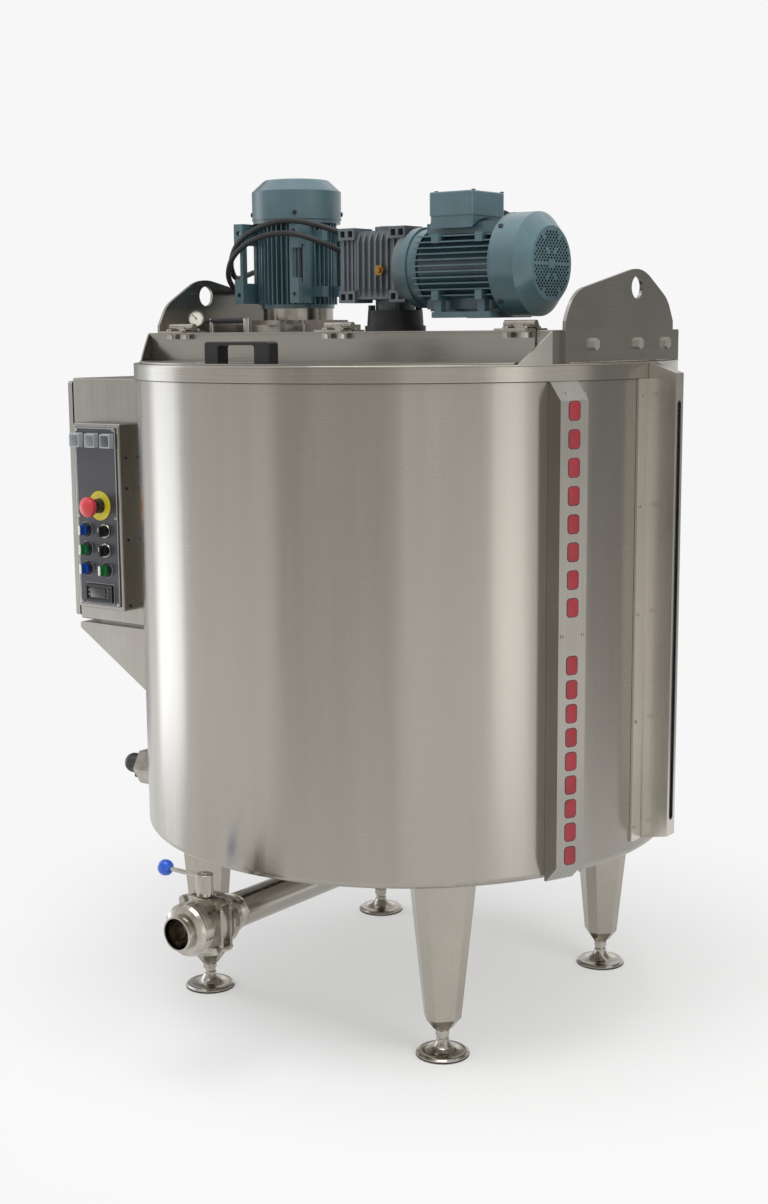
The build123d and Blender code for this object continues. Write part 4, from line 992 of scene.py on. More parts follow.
@dataclass(frozen=True)
class Studio:
    """Pale floor, soft boxes and the camera that looks at the tank's front right corner."""

    azimuth: float = 36.9986
    pitch: float = 9.5886
    roll: float = -0.4277
    eye: Point = (1.91267, -2.61001, 1.24813)
    lens: float = 51.46
    sensor_width: float = 36.0
    shift: float = 0.0175
    seen_to: float = 60.0
    backdrop: str = "#f7f7f7"
    floor_colour: str = "#fafafa"
    floor_rings: tuple[float, ...] = (0.0001, 1.5, 4.0, 14.0)
    matt_within: float = 0.55
    plain_beyond: float = 1.4
    plain_share: float = 0.4
    wall_radius: float = 2.3
    wall_height: float = 2.8
    wall_strength: float = 2.9
    wall_fade: tuple[float, float] = (1.15, 0.62)
    wall_fade_height: float = 1.4
    wall_colour: str = "#a09f9e"
    panels: tuple[WallPanel, ...] = (
        WallPanel("left flag", -115, 10, "#707070"),
        WallPanel("left window", -75, 8, "#f4f8ff"),
        WallPanel("front shade", 10, 20, "#888683"),
        WallPanel("right strip", 75, 3, "#d8d8d6"),
        WallPanel("right flag", 130, 20, "#6c6b69"),
    )
    aim: Point = (0.0, 0.0, 0.9)
    boxes: tuple[SoftBox, ...] = (
        SoftBox("left_window", (-3.18, -0.33, 1.6), (1.1, 2.2), 6.0, "#f4faff", False),
        SoftBox("right_window", (3.0, -0.4, 2.3), (1.2, 1.6), 20.0, "#fbfdff", False),
        SoftBox("overhead", (0.3, -0.8, 3.6), (2.0, 2.0), 34.0, "#ffffff", True),
    )

    def camera(self) -> None:
        """Creates the camera and makes it the scene's.

        It looks along (-sin a cos p, cos a cos p, -sin p) for azimuth a and pitch p, and
        its sides are then turned by the roll about that line.
        """
        a, p, roll = (math.radians(v) for v in (self.azimuth, self.pitch, self.roll))
        forward = Vector((-math.sin(a) * math.cos(p), math.cos(a) * math.cos(p), -math.sin(p)))
        level = Vector((math.cos(a), math.sin(a), 0.0))
        upright = level.cross(forward)
        right = math.cos(roll) * level + math.sin(roll) * upright
        up = -math.sin(roll) * level + math.cos(roll) * upright
        data = bpy.data.cameras.new("front_right_camera")
        data.sensor_width = self.sensor_width
        data.lens = self.lens
        data.shift_y = self.shift
        data.clip_end = self.seen_to
        camera = add_object("front_right_camera", data)
        turn = Matrix((right, up, -forward)).transposed().to_4x4()
        camera.matrix_world = Matrix.Translation(self.eye) @ turn
        bpy.context.scene.camera = camera

    def staged(self, name: str, profile: Pairs) -> tuple:
        """Turns a profile about the tank's axis into a piece of the studio.

        Args:
            name: the piece's name.
            profile: radius and height pairs, in metres.

        Returns:
            The object, its material's tree and the Object coordinates in it.
        """
        material, tree, place = empty_material(name)
        thing = add_mesh(name, turned(profile, 96), material)
        return thing, tree, place

    def floor(self) -> None:
        """Lays a round pale floor, matt near the tank and the backdrop's colour far off.

        Camera, glossy and transmitted rays see the backdrop's plain colour in a share
        that grows smoothly with the distance from the tank's axis, and all others see
        matt floor, so that the tank keeps its shadow.
        """
        rings = [(radius, 0.0) for radius in self.floor_rings]
        _, tree, place = self.staged("studio_floor", rings)
        reach = add_node(tree, "VectorMath", {"operation": "LENGTH"}, {0: place}).outputs["Value"]
        span = {"From Min": self.matt_within, "From Max": self.plain_beyond}
        fade = {"To Min": self.plain_share, "interpolation_type": "SMOOTHSTEP"}
        far = add_node(tree, "MapRange", span | fade, {"Value": reach})
        matt = add_node(tree, "BsdfDiffuse", {"Color": linear(self.floor_colour)})
        glow = add_node(tree, "Emission", {"Color": linear(self.backdrop), "Strength": 1.0})
        ray = add_node(tree, "LightPath").outputs
        either = {"operation": "MAXIMUM"}
        mirrored = {0: ray["Is Glossy Ray"], 1: ray["Is Transmission Ray"]}
        seen = {0: ray["Is Camera Ray"], 1: add_node(tree, "Math", either, mirrored)}
        direct = add_node(tree, "Math", either, seen)
        share = add_node(tree, "Math", {"operation": "MULTIPLY"}, {0: far, 1: direct})
        mix = add_node(tree, "MixShader", links={0: share, 1: matt, 2: glow})
        add_node(tree, "OutputMaterial", links={"Surface": mix})

    def room(self) -> None:
        """Stands a round wall of softly lit panels about the tank for the steel to show.

        A panel's brightness follows its compass angle, read from a range that starts at
        the back and goes round by the left, the front and the right, and it falls a
        little with height. The wall is out of the camera's sight and casts no shadow.
        """
        edges = [(self.wall_radius, 0.0), (self.wall_radius, self.wall_height)]
        wall, tree, place = self.staged("studio_wall", edges)
        wall.visible_camera = wall.visible_transmission = wall.visible_shadow = False
        parts = add_node(tree, "SeparateXYZ", links={0: place}).outputs
        ahead = add_node(tree, "Math", {"operation": "MULTIPLY", 1: -1.0}, {0: parts["Y"]})
        angle = add_node(tree, "Math", {"operation": "ARCTAN2"}, {0: parts["X"], 1: ahead})
        turns = {"operation": "MULTIPLY_ADD", 1: 1.0 / FULL_TURN, 2: 0.5}
        bands = add_node(tree, "ValToRGB", links={"Fac": add_node(tree, "Math", turns, {0: angle})})
        bands.color_ramp.interpolation = "EASE"
        stops = [(0.0, self.wall_colour)]
        for panel in self.panels:
            stops += panel.stops(self.wall_colour)
            log.info("wall panel %s", panel.name)
        set_stops(bands.color_ramp, stops)
        low, high = (share * self.wall_strength for share in self.wall_fade)
        fade = {"From Min": 0.0, "From Max": self.wall_fade_height, "To Min": low, "To Max": high}
        fall = add_node(tree, "MapRange", fade, {"Value": parts["Z"]})
        glow = add_node(tree, "Emission", links={"Color": bands, "Strength": fall})
        add_node(tree, "OutputMaterial", links={"Surface": glow})

    def world(self) -> None:
        """Fills the sky evenly with the backdrop's colour."""
        world = bpy.data.worlds.new("studio_world")
        bpy.context.scene.world = world
        world.use_nodes = True
        tree = world.node_tree
        tree.nodes.clear()
        sky = add_node(tree, "Background", {"Color": linear(self.backdrop), "Strength": 1.0})
        add_node(tree, "OutputWorld", links={"Surface": sky})

    def build(self) -> None:
        """Sets up the camera, floor, wall, world and lamps."""
        self.camera()
        self.floor()
        self.room()
        self.world()
        for box in self.boxes:
            box.build(self.aim)
        bpy.context.scene.view_settings.view_transform = "Standard"


# The cords


@dataclass(frozen=True)
class Cord:
    """A round rubber cable between two glands, its route in millimetres."""

    name: str
    route: tuple[Point, ...]
    length: float
    diameter: float = 0.0105

    def build(self, finishes: Finishes) -> None:
        """Draws the cable as one smooth curve with the route as its control points.

        Args:
            finishes: the tank's finishes.
        """
        curve = bpy.data.curves.new(self.name + "_line", "CURVE")
        curve.dimensions = "3D"
        spline = curve.splines.new("NURBS")
        spline.points.add(len(self.route) - 1)
        for point, at in zip(spline.points, self.route):
            point.co = (*(MM * v for v in at), 1.0)
        spline.order_u = 3
        spline.use_endpoint_u = True
        curve.resolution_u = 10
        curve.bevel_depth = self.diameter / 2
        curve.bevel_resolution = 5
        curve.use_fill_caps = True
        curve.materials.append(finishes.materials["cable_rubber"])
        cable = add_object(self.name + "_line", curve)
        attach(cable, "root")
        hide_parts(self.name)
        log.info("cord %s", self.name)


MOTOR_ROUTE = (
    (-364, 148, 1385), (-408, 148, 1385), (-440, 119, 1379), (-443, 74, 1367),
    (-431, 30, 1356), (-410, -12, 1356), (-390, -46, 1384), (-359, -60, 1420),
    (-312, -67, 1442), (-258, -70, 1456), (-204, -67, 1457), (-148, -57, 1444),
    (-99, -30, 1423), (-66, 18, 1402), (-20, 56, 1386), (36, 76, 1379),
    (92, 88, 1383), (144, 88, 1399), (186, 70, 1429), (212, 34, 1455),
    (212, -15, 1455),
)
SUPPLY_ROUTE = (
    (-364, 148, 1350), (-408, 148, 1350), (-440, 119, 1344), (-442, 74, 1334),
    (-428, 30, 1327), (-408, -13, 1332), (-391, -54, 1358), (-360, -74, 1394),
    (-312, -80, 1420), (-260, -82, 1433), (-208, -78, 1434), (-158, -66, 1420),
    (-122, -34, 1398), (-104, 14, 1372), (-97, 58, 1350), (-88, 92, 1326),
    (-86, 104, 1296), (-86, 104, 1264),
)


# The tank


@dataclass(frozen=True)
class Assembly:
    """A sub-assembly that dresses its CAD nodes and adds pieces to them."""

    finishes: Finishes

    def build(self) -> None:
        """Dresses the sub-assembly and adds its pieces."""
        raise NotImplementedError


@dataclass(frozen=True)
class Tank(Assembly):
    """The jacketed vessel with its rim, legs and feet, in millimetres."""

    rim_radius: float = 500.0
    rim_low: float = 1168.0
    rim_high: float = 1195.0
    lip_radius: float = 1.7
    shadow_line_radius: float = 0.7
    foot_spread: float = 275.0
    foot_radius: float = 46.9

    def build(self) -> None:
        """Dresses the vessel and what it stands on."""
        self.finishes.dress("jacket_steel", "outer_jacket", "inner_vessel")
        self.finishes.dress("rim_steel", "rim_band")
        self.finishes.dress("leg_steel", "legs")
        self.rim()
        self.feet()

    def rim(self) -> None:
        """Rolls a small lip along the rim's top edge and lays a dark rubber ring along the band's
        lower edge as a painted shadow line.
        """
        size = self.lip_radius
        lip = oval(self.rim_radius - 1.2, self.rim_high - 0.6, size, size, 12)
        self.finishes.piece("rim_lip", hoop(lip, 256), "rim_steel")
        # Painted shadow: a dark rubber ring stands in for the shadow line under the rim band's
        # lower edge.
        size = self.shadow_line_radius
        seam = oval(self.rim_radius - 0.4, self.rim_low, size, size, 12)
        self.finishes.piece("rim_seam", hoop(seam, 256), "seal_rubber")

    def feet(self) -> None:
        """Puts a rubber edge round each foot's pad, which turns with the foot."""
        edge = self.foot_radius
        profile = [(edge - 0.6, 0.8), (edge + 0.3, 1.1), (edge + 0.3, 3.3), (edge - 0.6, 3.6)]
        for depth, y in (("front", -self.foot_spread), ("rear", self.foot_spread)):
            for side, x in (("right", self.foot_spread), ("left", -self.foot_spread)):
                foot = f"foot_{depth}_{side}"
                self.finishes.dress("polished_steel", foot)
                band = hoop(profile, 64).placed(Facing.UP.at(x, y, 0))
                self.finishes.piece(foot + "_edge", band, "seal_rubber", foot)


@dataclass(frozen=True)
class Bridge(Assembly):
    """The raised deck with the hinged lid and the lifting lugs, in millimetres."""

    hinge_x: tuple[float, ...] = (-360.0, 15.0, 390.0)
    screw_spread: float = 18.0
    screw_seat: float = 1255.5
    lid_row: float = -232.0
    deck_row: float = -193.0
    lug_face: float = 456.6
    lug_half: float = 176.0
    weld_height: float = 1196.0
    weld_radius: float = 2.1
    weld_pitch: float = 4.5

    def build(self) -> None:
        """Dresses the deck, the lid and the lugs."""
        self.finishes.dress("level_steel", "bridge_deck", "lid")
        self.finishes.dress("deep_steel", "lug_plates")
        self.finishes.dress("bolt_steel", "lug_bolts")
        self.finishes.dress("polished_steel", "lid_hinge_leaves", "deck_hinge_leaves")
        self.finishes.dress("black_plastic", "lid_handle")
        self.finishes.dress("upright_steel", "agitator")
        self.hinge_screws("lid_hinge_screws", self.lid_row, "lid")
        self.hinge_screws("deck_hinge_screws", self.deck_row, "root")
        self.lug_welds()

    def hinge_screws(self, name: str, row: float, body: str) -> None:
        """Puts a row of socket screws on the hinge leaves.

        Args:
            name: the row's name.
            row: its place from front to back.
            body: the body that its leaves ride on.
        """
        places = [
            Facing.UP.at(x + side * self.screw_spread, row, self.screw_seat)
            for x in self.hinge_x
            for side in (-1, 1)
        ]
        self.finishes.piece(name, Screw(4.8, 1.6).at(places), "polished_steel", body)

    def lug_welds(self) -> None:
        """Lays a rippled weld bead along the foot of each lug plate."""
        reach, height = MM * self.lug_half, MM * self.weld_height
        radius, pitch = MM * self.weld_radius, MM * self.weld_pitch
        beads = [
            weld_bead((x, -reach, height), (x, reach, height), radius, pitch)
            for x in (-MM * self.lug_face, MM * self.lug_face)
        ]
        self.finishes.piece("lug_welds", joined(beads), "weld_steel")


@dataclass(frozen=True)
class Drain(Assembly):
    """The drain pipe and its hand-turned valve, in millimetres."""

    pipe_radius: float = 30.15
    axis_height: float = 270.0
    elbow: float = 62.0
    pipe_end: float = -502.0
    weld_rise: float = 1.0
    weld_half_width: float = 2.2
    hub_y: float = -577.0
    hub_top: float = 356.0
    bell_radius: float = 45.0
    bell_y: float = -615.0

    def build(self) -> None:
        """Dresses the pipe and the valve."""
        self.finishes.dress("pipe_steel", "drain_pipe")
        self.finishes.dress("polished_steel", "valve_body_front", "valve_body_rear")
        self.finishes.dress("polished_steel", "valve_bolts", "valve_spindle", "valve_lever")
        self.finishes.dress("silicone_seal", "valve_seal")
        self.finishes.dress("knob_blue", "valve_knob")
        self.pipe_welds()
        self.valve_details()

    def pipe_welds(self) -> None:
        """Runs a weld bead round the pipe where the elbow and the valve join it."""
        ring = hoop(oval(self.pipe_radius, 0, self.weld_rise, self.weld_half_width, WELD_SIDES), 64)
        places = (
            Facing.FRONT.at(0, self.pipe_end, self.axis_height),
            Facing.FRONT.at(0, -self.elbow, self.axis_height),
            Facing.UP.at(0, 0, self.axis_height + self.elbow),
        )
        self.finishes.piece("pipe_welds", joined([ring.placed(p) for p in places]), "weld_steel")

    def valve_details(self) -> None:
        """Turns a raised land on the valve's bell and sinks a socket screw in the lever's hub."""
        edge = self.bell_radius
        land = [(edge - 0.5, -5), (edge + 0.7, -4.2), (edge + 0.7, 4.2), (edge - 0.5, 5)]
        bell = hoop(land, 96).placed(Facing.FRONT.at(0, self.bell_y, self.axis_height))
        self.finishes.piece("valve_bell_land", bell, "polished_steel")
        screw = Screw(5.0, 2.2).at([Facing.UP.at(0, self.hub_y, self.hub_top)])
        self.finishes.piece("valve_hub_screw", screw, "polished_steel", "valve")


@dataclass(frozen=True)
class Cabinet(Assembly):
    """The control cabinet, its bracket and the operator's panel, in millimetres."""

    panel_middle: tuple[float, float] = (-661.0, 880.5)
    panel_size: tuple[float, float] = (116.0, 365.0)
    panel_front: float = -163.0
    border_inset: float = 2.2
    panel_screw_inset: float = 5.2
    lamp_x: tuple[float, ...] = (-711.0, -667.0, -623.0)
    lamp_z: float = 1036.0
    lamp_front: float = -175.0
    lens_size: float = 22.0
    button_x: tuple[float, float] = (-695.0, -640.0)
    button_z: tuple[float, float, float] = (853.0, 813.0, 773.0)
    button_front: float = -184.0
    key_selectors: tuple[int, int] = (2, 4)
    thermo_middle: tuple[float, float] = (-661.5, 723.5)
    thermo_floor: float = -165.5
    housing_side: float = -595.0
    housing_screw_y: float = -143.0
    housing_screw_z: tuple[float, ...] = (1002.0, 940.0, 835.0, 700.0)

    def build(self) -> None:
        """Dresses the cabinet and the panel."""
        self.finishes.dress("upright_steel", "control_cabinet", "cabinet_door")
        self.finishes.dress("upright_steel", "cabinet_bracket", "panel_housing")
        self.finishes.dress("slate_panel", "panel_face")
        self.finishes.dress("grey_plastic", "signal_lamps")
        self.finishes.dress("stop_label", "estop_collar")
        self.finishes.dress("red_plastic", "estop_button")
        self.finishes.dress("blue_plastic", "selector_1", "selector_5")
        self.finishes.dress("green_plastic", "selector_3", "selector_6")
        self.finishes.dress("black_plastic", "selector_2", "selector_4", "thermostat")
        self.border()
        self.lenses()
        self.selectors()
        self.thermostat()
        self.screws()

    def border(self) -> None:
        """Draws the raised border line just inside the panel's edge."""
        width, height = (size - 2 * self.border_inset for size in self.panel_size)
        x, z = self.panel_middle
        line = carried(rounded_outline(width, height, 3), half_round(1.7, 0.7))
        place = Facing.FRONT.at(x, self.panel_front, z)
        self.finishes.piece("panel_border", line.placed(place), "border_foil")

    def lenses(self) -> None:
        """Sets a square lens into the front of each signal lamp, the last one dark."""
        lens = slab(rounded_outline(self.lens_size, self.lens_size, 2.5), -0.3, 1.0, 0.5)
        for number, x in enumerate(self.lamp_x, 1):
            place = Facing.FRONT.at(x, self.lamp_front, self.lamp_z)
            finish = "dark_lens" if number == len(self.lamp_x) else "lamp_lens"
            self.finishes.piece(f"lamp_lens_{number}", lens.placed(place), finish)

    def selectors(self) -> None:
        """Rings each selector with its bezel and caps the turning bars.

        A bezel is a ring with a rounded front round a closed profile. The lit selectors
        have a black bezel, a thin bright line round it and a white cap over the whole
        bar, a painted highlight of the raised bar's side, and the key selectors a bright
        bezel and a short white pointer.
        """
        profile = [(11.4, 0), (15.0, 0), (15.0, 3.0), (14.1, 4.2), (12.3, 4.2), (11.4, 3.4)]
        bezel = hoop(profile, 40)
        line = carried(round_outline(16, 48), half_round(0.9, 0.5))
        # Painted highlight: the white cap on a lit selector's bar stands in for the bright side of
        # the raised handle.
        highlight_cap = slab(rounded_outline(6.2, 20.2, 6.2 / 2.05), -0.2, 1.2, 0.4)
        pointer = slab(rounded_outline(1.6, 9.0, 1.6 / 2.05), -0.2, 0.5, 0.4)
        rings: dict[str, list[Surface]] = {"black": [], "bright": [], "line": []}
        caps = []
        for number, (z, x) in enumerate(((z, x) for z in self.button_z for x in self.button_x), 1):
            on_panel = Facing.FRONT.at(x, self.panel_front, z)
            if number in self.key_selectors:
                rings["bright"].append(bezel.placed(on_panel))
                caps.append(pointer.placed(Facing.FRONT.at(x, self.button_front, z + 4.5)))
            else:
                rings["black"].append(bezel.placed(on_panel))
                rings["line"].append(line.placed(on_panel))
                caps.append(highlight_cap.placed(Facing.FRONT.at(x, self.button_front, z)))
        finish = {"black": "black_plastic", "bright": "polished_steel", "line": "border_foil"}
        for name, surfaces in rings.items():
            self.finishes.piece(f"selector_rings_{name}", joined(surfaces), finish[name])
        for number, top in enumerate(caps, 1):
            body = f"selector_{number}"
            self.finishes.piece(f"selector_cap_{number}", top, "white_plastic", body)

    def thermostat(self) -> None:
        """Fills the thermostat's recess with its display, keys and marks, and frames it with a
        raised bead whose light colour is a painted highlight.
        """
        x, z = self.thermo_middle
        # Painted highlight: the frame's bead wears light foil so it shows the frame's highlight.
        line = carried(rounded_outline(82, 40, 2.5), half_round(1.0, 0.5))
        line = line.placed(Facing.FRONT.at(x, self.panel_front, z))
        self.finishes.piece("thermostat_border", line, "border_foil")
        display = slab(rounded_outline(44, 20, 1.5), -0.2, 1.3, 0.5)
        key = slab(rounded_outline(7, 4.6, 1.4), -0.2, 1.4, 0.6)
        mark = slab(round_outline(1.2, 16), -0.2, 0.8, 0.3)
        for name, surface, finish, across, rises in (
            ("display", display, "display_glass", -3, (0,)),
            ("keys", key, "slate_panel", 26, (-8, 0, 8)),
            ("marks", mark, "white_plastic", -29.5, (-4, 5)),
        ):
            places = [Facing.FRONT.at(x + across, self.thermo_floor, z + up) for up in rises]
            parts = joined([surface.placed(place) for place in places])
            self.finishes.piece(f"thermostat_{name}", parts, finish)

    def screws(self) -> None:
        """Screws the panel down at its corners and sides, and the housing to the cabinet with heads
        painted dark as shade.
        """
        x, z = self.panel_middle
        width, height = (size / 2 - self.panel_screw_inset for size in self.panel_size)
        places = [
            Facing.FRONT.at(x + side * width, self.panel_front, z + up * height)
            for side in (-1, 1)
            for up in (-1, 0, 1)
        ]
        head = Screw(3.4, 1.8, Recess.CROSS)
        self.finishes.piece("panel_screws", head.at(places), "polished_steel")
        # Painted shade: the housing's screw heads wear the dark casting finish because they stand
        # in shadow.
        places = [
            Facing.RIGHT.at(self.housing_side, self.housing_screw_y, up)
            for up in self.housing_screw_z
        ]
        self.finishes.piece("housing_screws", Screw(3.4, 1.8).at(places), "dark_casting")


@dataclass(frozen=True)
class SideFittings(Assembly):
    """The heater, the trim channel and the level gauge on the jacket's side, in millimetres."""

    trim_azimuth: float = 67.0
    trim_face: float = 530.0
    trim_screw_across: float = 21.0
    trim_screw_z: tuple[float, ...] = (1149.0, 755.0, 353.0)
    upper_slots: tuple[float, float, int] = (1122.0, 802.0, 8)
    lower_slots: tuple[float, float, int] = (706.0, 382.0, 9)
    slot_size: tuple[float, float] = (22.0, 31.0)
    slot_corner: float = 6.0
    gauge_front: float = 551.0
    gauge_middle: tuple[float, float] = (31.0, 765.0)
    gauge_slot: tuple[float, float, float] = (10.0, 730.0, 4.99)
    strip_radius: float = 500.3
    strip_screw_y: float = -9.0
    strip_screw_z: tuple[float, ...] = (1140.0, 952.0, 765.0, 576.0, 386.0)

    def build(self) -> None:
        """Dresses the fittings."""
        self.finishes.dress("polished_steel", "heater_boss", "heating_element")
        self.finishes.dress("black_plastic", "heater_cap")
        self.finishes.dress("upright_steel", "trim_channel")
        # The gauge housing wears the lighter steel copy as painted light.
        self.finishes.dress("housing_steel", "gauge_housing")
        self.finishes.dress("gauge_glass", "gauge_tube")
        self.trim()
        self.gauge()

    def on_trim(self, across: float, z: float) -> Place:
        """Finds a place on the trim channel's face.

        Args:
            across: how far it lies to the side of the channel's middle.
            z: its height.

        Returns:
            The place.
        """
        out, level = compass(self.trim_azimuth)
        middle = MM * (self.trim_face * out + across * level + np.array([0.0, 0.0, z]))
        return Place(tuple(middle), tuple(out), tuple(level))

    def trim(self) -> None:
        """Puts two runs of plain red inserts, each ringed by a dark bead of painted shade, and six
        screws, on the trim.
        """
        outline = rounded_outline(*self.slot_size, self.slot_corner)
        insert = slab(outline, -0.3, 0.6, 0.4)
        # Painted shade: the dark bead round each insert stands in for the shade of a sunk slot.
        edge = carried(outline, half_round(1.4, 0.9))
        heights = np.concatenate([np.linspace(*self.upper_slots), np.linspace(*self.lower_slots)])
        places = [self.on_trim(0, float(z)) for z in heights]
        inserts = joined([insert.placed(place) for place in places])
        self.finishes.piece("trim_inserts", inserts, "red_insert")
        edges = joined([edge.placed(place) for place in places])
        self.finishes.piece("trim_insert_edges", edges, "dark_casting")
        places = [
            self.on_trim(side * self.trim_screw_across, z)
            for z in self.trim_screw_z
            for side in (-1, 1)
        ]
        self.finishes.piece("trim_screws", Screw(3.2, 1.9).at(places), "polished_steel")

    def gauge(self) -> None:
        """Lines the gauge's slot with black edging and screws its strip to the jacket."""
        edging = carried(rounded_outline(*self.gauge_slot, 8), half_round(2.2, 0.9))
        edging = edging.placed(Facing.RIGHT.at(self.gauge_front, *self.gauge_middle))
        self.finishes.piece("gauge_edging", edging, "seal_rubber")
        a = math.asin(self.strip_screw_y / self.strip_radius)
        out, level = (math.cos(a), math.sin(a), 0.0), (-math.sin(a), math.cos(a), 0.0)
        x, y = MM * self.strip_radius * out[0], MM * self.strip_screw_y
        places = [Place((x, y, MM * up), out, level) for up in self.strip_screw_z]
        self.finishes.piece("gauge_screws", Screw(3.2, 1.8).at(places), "polished_steel")


@dataclass(frozen=True)
class Drives(Assembly):
    """The geared agitator drive, the upright mixer motor and the thermometer, in millimetres."""

    mixer_axis: tuple[float, float] = (-298.0, 50.0)
    cowl_radius: float = 87.0
    mixer_cowl_low: float = 1464.0
    mixer_screw_turn: float = 37.0
    gear_axis: tuple[float, float] = (-80.0, 1360.0)
    gear_cowl_left: float = 292.0
    gear_screw_turn: float = 45.0
    lid_middle: tuple[float, float] = (192.5, -73.0)
    lid_size: tuple[float, float] = (91.0, 102.0)
    lid_seam: float = 1445.0
    lid_top: float = 1485.0
    lid_screw_inset: float = 7.0
    rear_box_back: float = 176.0
    rear_box_z: float = 1380.0
    rear_screw_spread: float = 44.0
    dial_centre: Point = (-385.0, -150.0, 1276.0)
    dial_out: Point = (0.57, -0.80, 0.18)
    dial_level: Point = (0.814, 0.581, 0.0)
    tick_reach: float = 13.2
    stem_start: Point = (-368.0, -143.0, 1272.0)

    def build(self) -> None:
        """Dresses the drives."""
        self.finishes.dress("motor_paint", "gear_motor_frame", "gear_motor_cowl")
        self.finishes.dress("motor_paint", "gear_terminal_box", "mixer_motor_frame")
        self.finishes.dress("motor_paint", "mixer_motor_cowl")
        self.finishes.dress("cast_aluminium", "gearbox")
        self.finishes.dress("dark_casting", "gearbox_pedestal")
        self.finishes.dress("polished_steel", "gear_rotor", "mixer_rotor")
        self.finishes.dress("polished_steel", "mixer_base", "thermometer")
        self.finishes.dress("brass", "breather_plug")
        self.finishes.dress("black_plastic", "thermometer_pointer")
        self.cowl_details()
        self.box_details()
        self.glands()
        self.dial()

    def cowl_details(self) -> None:
        """Screws both fan cowls down and rolls a lip along their open edges."""
        mixer = np.array([*self.mixer_axis, self.mixer_cowl_low])
        gear = np.array([self.gear_cowl_left, *self.gear_axis])
        places = []
        for quarter in range(4):
            out, level = compass(self.mixer_screw_turn + 90 * quarter)
            foot = mixer + np.array([0.0, 0.0, 12.0]) + self.cowl_radius * out
            places.append(Place(tuple(MM * foot), tuple(out), tuple(level)))
            a = math.radians(self.gear_screw_turn + 90 * quarter)
            out = np.array([0.0, math.cos(a), math.sin(a)])
            foot = gear + np.array([11.0, 0.0, 0.0]) + self.cowl_radius * out
            places.append(Place(tuple(MM * foot), tuple(out), (1.0, 0.0, 0.0)))
        self.finishes.piece("cowl_screws", Screw(4.4, 3.0).at(places), "dark_casting")
        section = ((-0.6, 0), (0.4, 0.2), (0.7, 1.4), (0.4, 2.6), (-0.6, 2.8))
        lip = hoop([(self.cowl_radius + out, up) for out, up in section], 96)
        lips = [lip.placed(Facing.UP.at(*mixer)), lip.placed(Facing.RIGHT.at(*gear))]
        self.finishes.piece("cowl_lips", joined(lips), "motor_paint")

    def box_details(self) -> None:
        """Gives the terminal boxes their lid seams and lid screws."""
        x, y = self.lid_middle
        width, depth = self.lid_size
        section = [(-0.5, -1.4), (0.7, -1.0), (0.7, 1.0), (-0.5, 1.4)]
        seam = carried(rounded_outline(width + 0.4, depth + 0.4, 6), section)
        seam = seam.placed(Facing.UP.at(x, y, self.lid_seam))
        self.finishes.piece("terminal_lid_seam", seam, "motor_paint")
        corners = [(i, j) for i in (-1, 1) for j in (-1, 1)]
        half_width, half_depth = (size / 2 - self.lid_screw_inset for size in self.lid_size)
        middle, spread = self.mixer_axis[0], self.rear_screw_spread
        places = [
            Facing.UP.at(x + i * half_width, y + j * half_depth, self.lid_top) for i, j in corners
        ] + [
            Facing.BACK.at(middle + spread * i, self.rear_box_back, self.rear_box_z + spread * j)
            for i, j in corners
        ]
        self.finishes.piece("terminal_screws", Screw(3.6, 2.4).at(places), "dark_casting")

    def glands(self) -> None:
        """Puts a tapered sleeve on each cable gland, and a six-sided nut on the boxes' three."""
        places = (
            Facing.LEFT.at(*MOTOR_ROUTE[0]),
            Facing.LEFT.at(*SUPPLY_ROUTE[0]),
            Facing.BACK.at(*MOTOR_ROUTE[-1]),
            Facing.UP.at(*SUPPLY_ROUTE[-1]),
        )
        nut = hoop([(9.05, -11), (10.8, -10.2), (10.8, -2.4), (9.05, -1.6)], 6)
        sleeve = hoop([(5.0, -0.5), (8.8, -0.5), (8.8, 2.2), (7.2, 5.0), (6.1, 13), (5.0, 13)], 32)
        pieces = [sleeve.placed(place) for place in places]
        pieces += [nut.placed(place) for place in places[:3]]
        self.finishes.piece("cable_glands", joined(pieces), "black_plastic", smooth_below=25.0)

    def on_dial(self, lift: float, turn: float = 0.0) -> Place:
        """Finds a place on the dial.

        Args:
            lift: how far it stands off the dial's plane, in millimetres.
            turn: how far its level direction is turned about the dial, in degrees.

        Returns:
            The place.
        """
        out = unit(self.dial_out)
        middle = MM * (np.array(self.dial_centre) + lift * out)
        level, upright, _ = Place(tuple(middle), tuple(out), self.dial_level).axes()
        a = math.radians(turn)
        return Place(tuple(middle), tuple(out), tuple(math.cos(a) * level + math.sin(a) * upright))

    def dial(self) -> None:
        """Prints the thermometer's dial, rims its case and sleeves its stem."""
        face = slab(round_outline(14.3), -0.1, 0.25, 0.1)
        self.finishes.piece("dial_face", face.placed(self.on_dial(3)), "dial_white")
        ticks = []
        for step in range(13):
            length, width = (2.6, 0.55) if step % 3 == 0 else (1.5, 0.35)
            tick = slab(rounded_outline(length, width, 0.1, 2), 0, 0.12, 0.05)
            shift = np.array([(self.tick_reach - length / 2) * MM, 0.0, 0.0])
            moved = Surface(tick.points + shift, tick.faces)
            ticks.append(moved.placed(self.on_dial(3.24, 225.0 - 22.5 * step)))
        self.finishes.piece("dial_ticks", joined(ticks), "black_plastic")
        rim = [(14.2, -13), (16.9, -13), (16.9, -1.2), (16.1, 0.4), (14.9, 0.4), (14.45, -0.4)]
        self.finishes.piece("dial_rim", hoop(rim, 64).placed(self.on_dial(6)), "black_plastic")
        sleeve = hoop([(4.4, 0), (5.2, 0.4), (5.2, 99.6), (4.4, 100)], 32)
        sleeve = sleeve.placed(Facing.RIGHT.at(*self.stem_start))
        self.finishes.piece("stem_sleeve", sleeve, "seal_rubber")


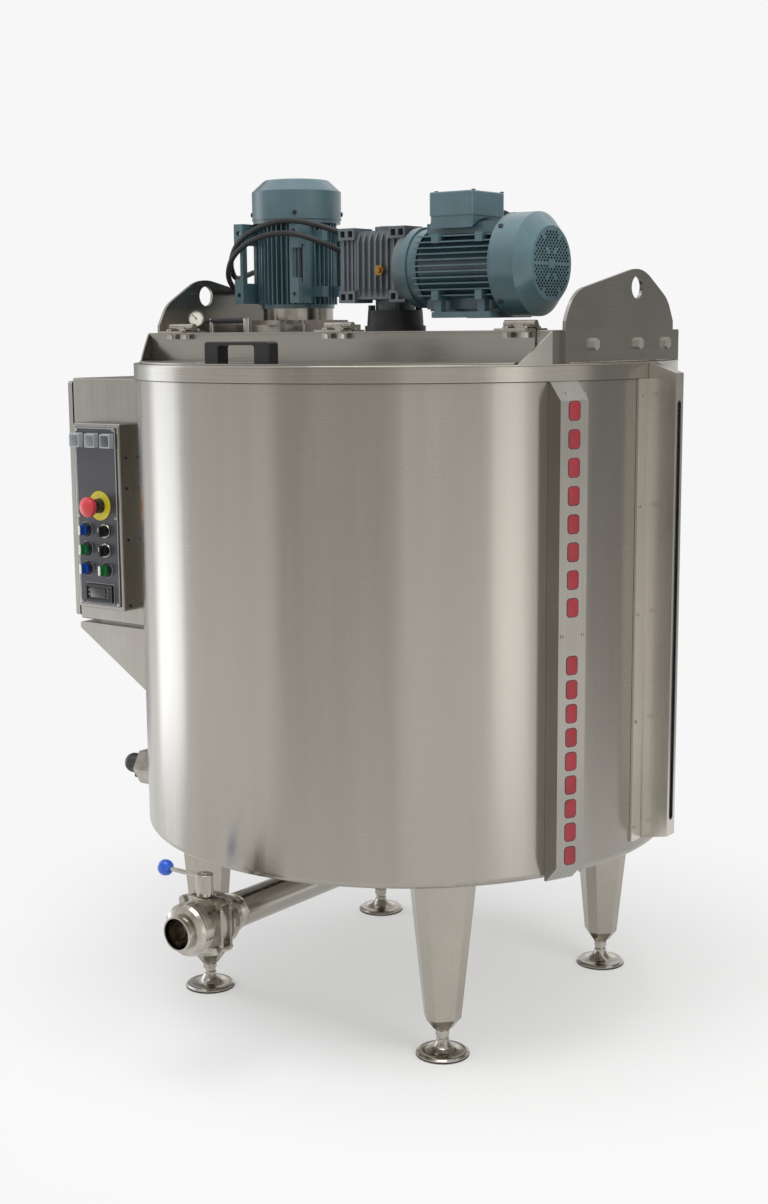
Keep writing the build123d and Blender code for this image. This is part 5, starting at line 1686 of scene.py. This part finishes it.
def main() -> None:
    """Builds the studio, the cords and every sub-assembly."""
    logging.basicConfig(level=logging.INFO, format="%(message)s")
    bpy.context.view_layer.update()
    Studio().build()
    finishes = Finishes.mixed()
    Cord("motor_cable", MOTOR_ROUTE, 1.04).build(finishes)
    Cord("supply_cable", SUPPLY_ROUTE, 0.80).build(finishes)
    for assembly in (Tank, Bridge, Drain, Cabinet, SideFittings, Drives):
        assembly(finishes).build()
        log.info("assembly %s", assembly.__name__)


if __name__ == "__main__":
    main()
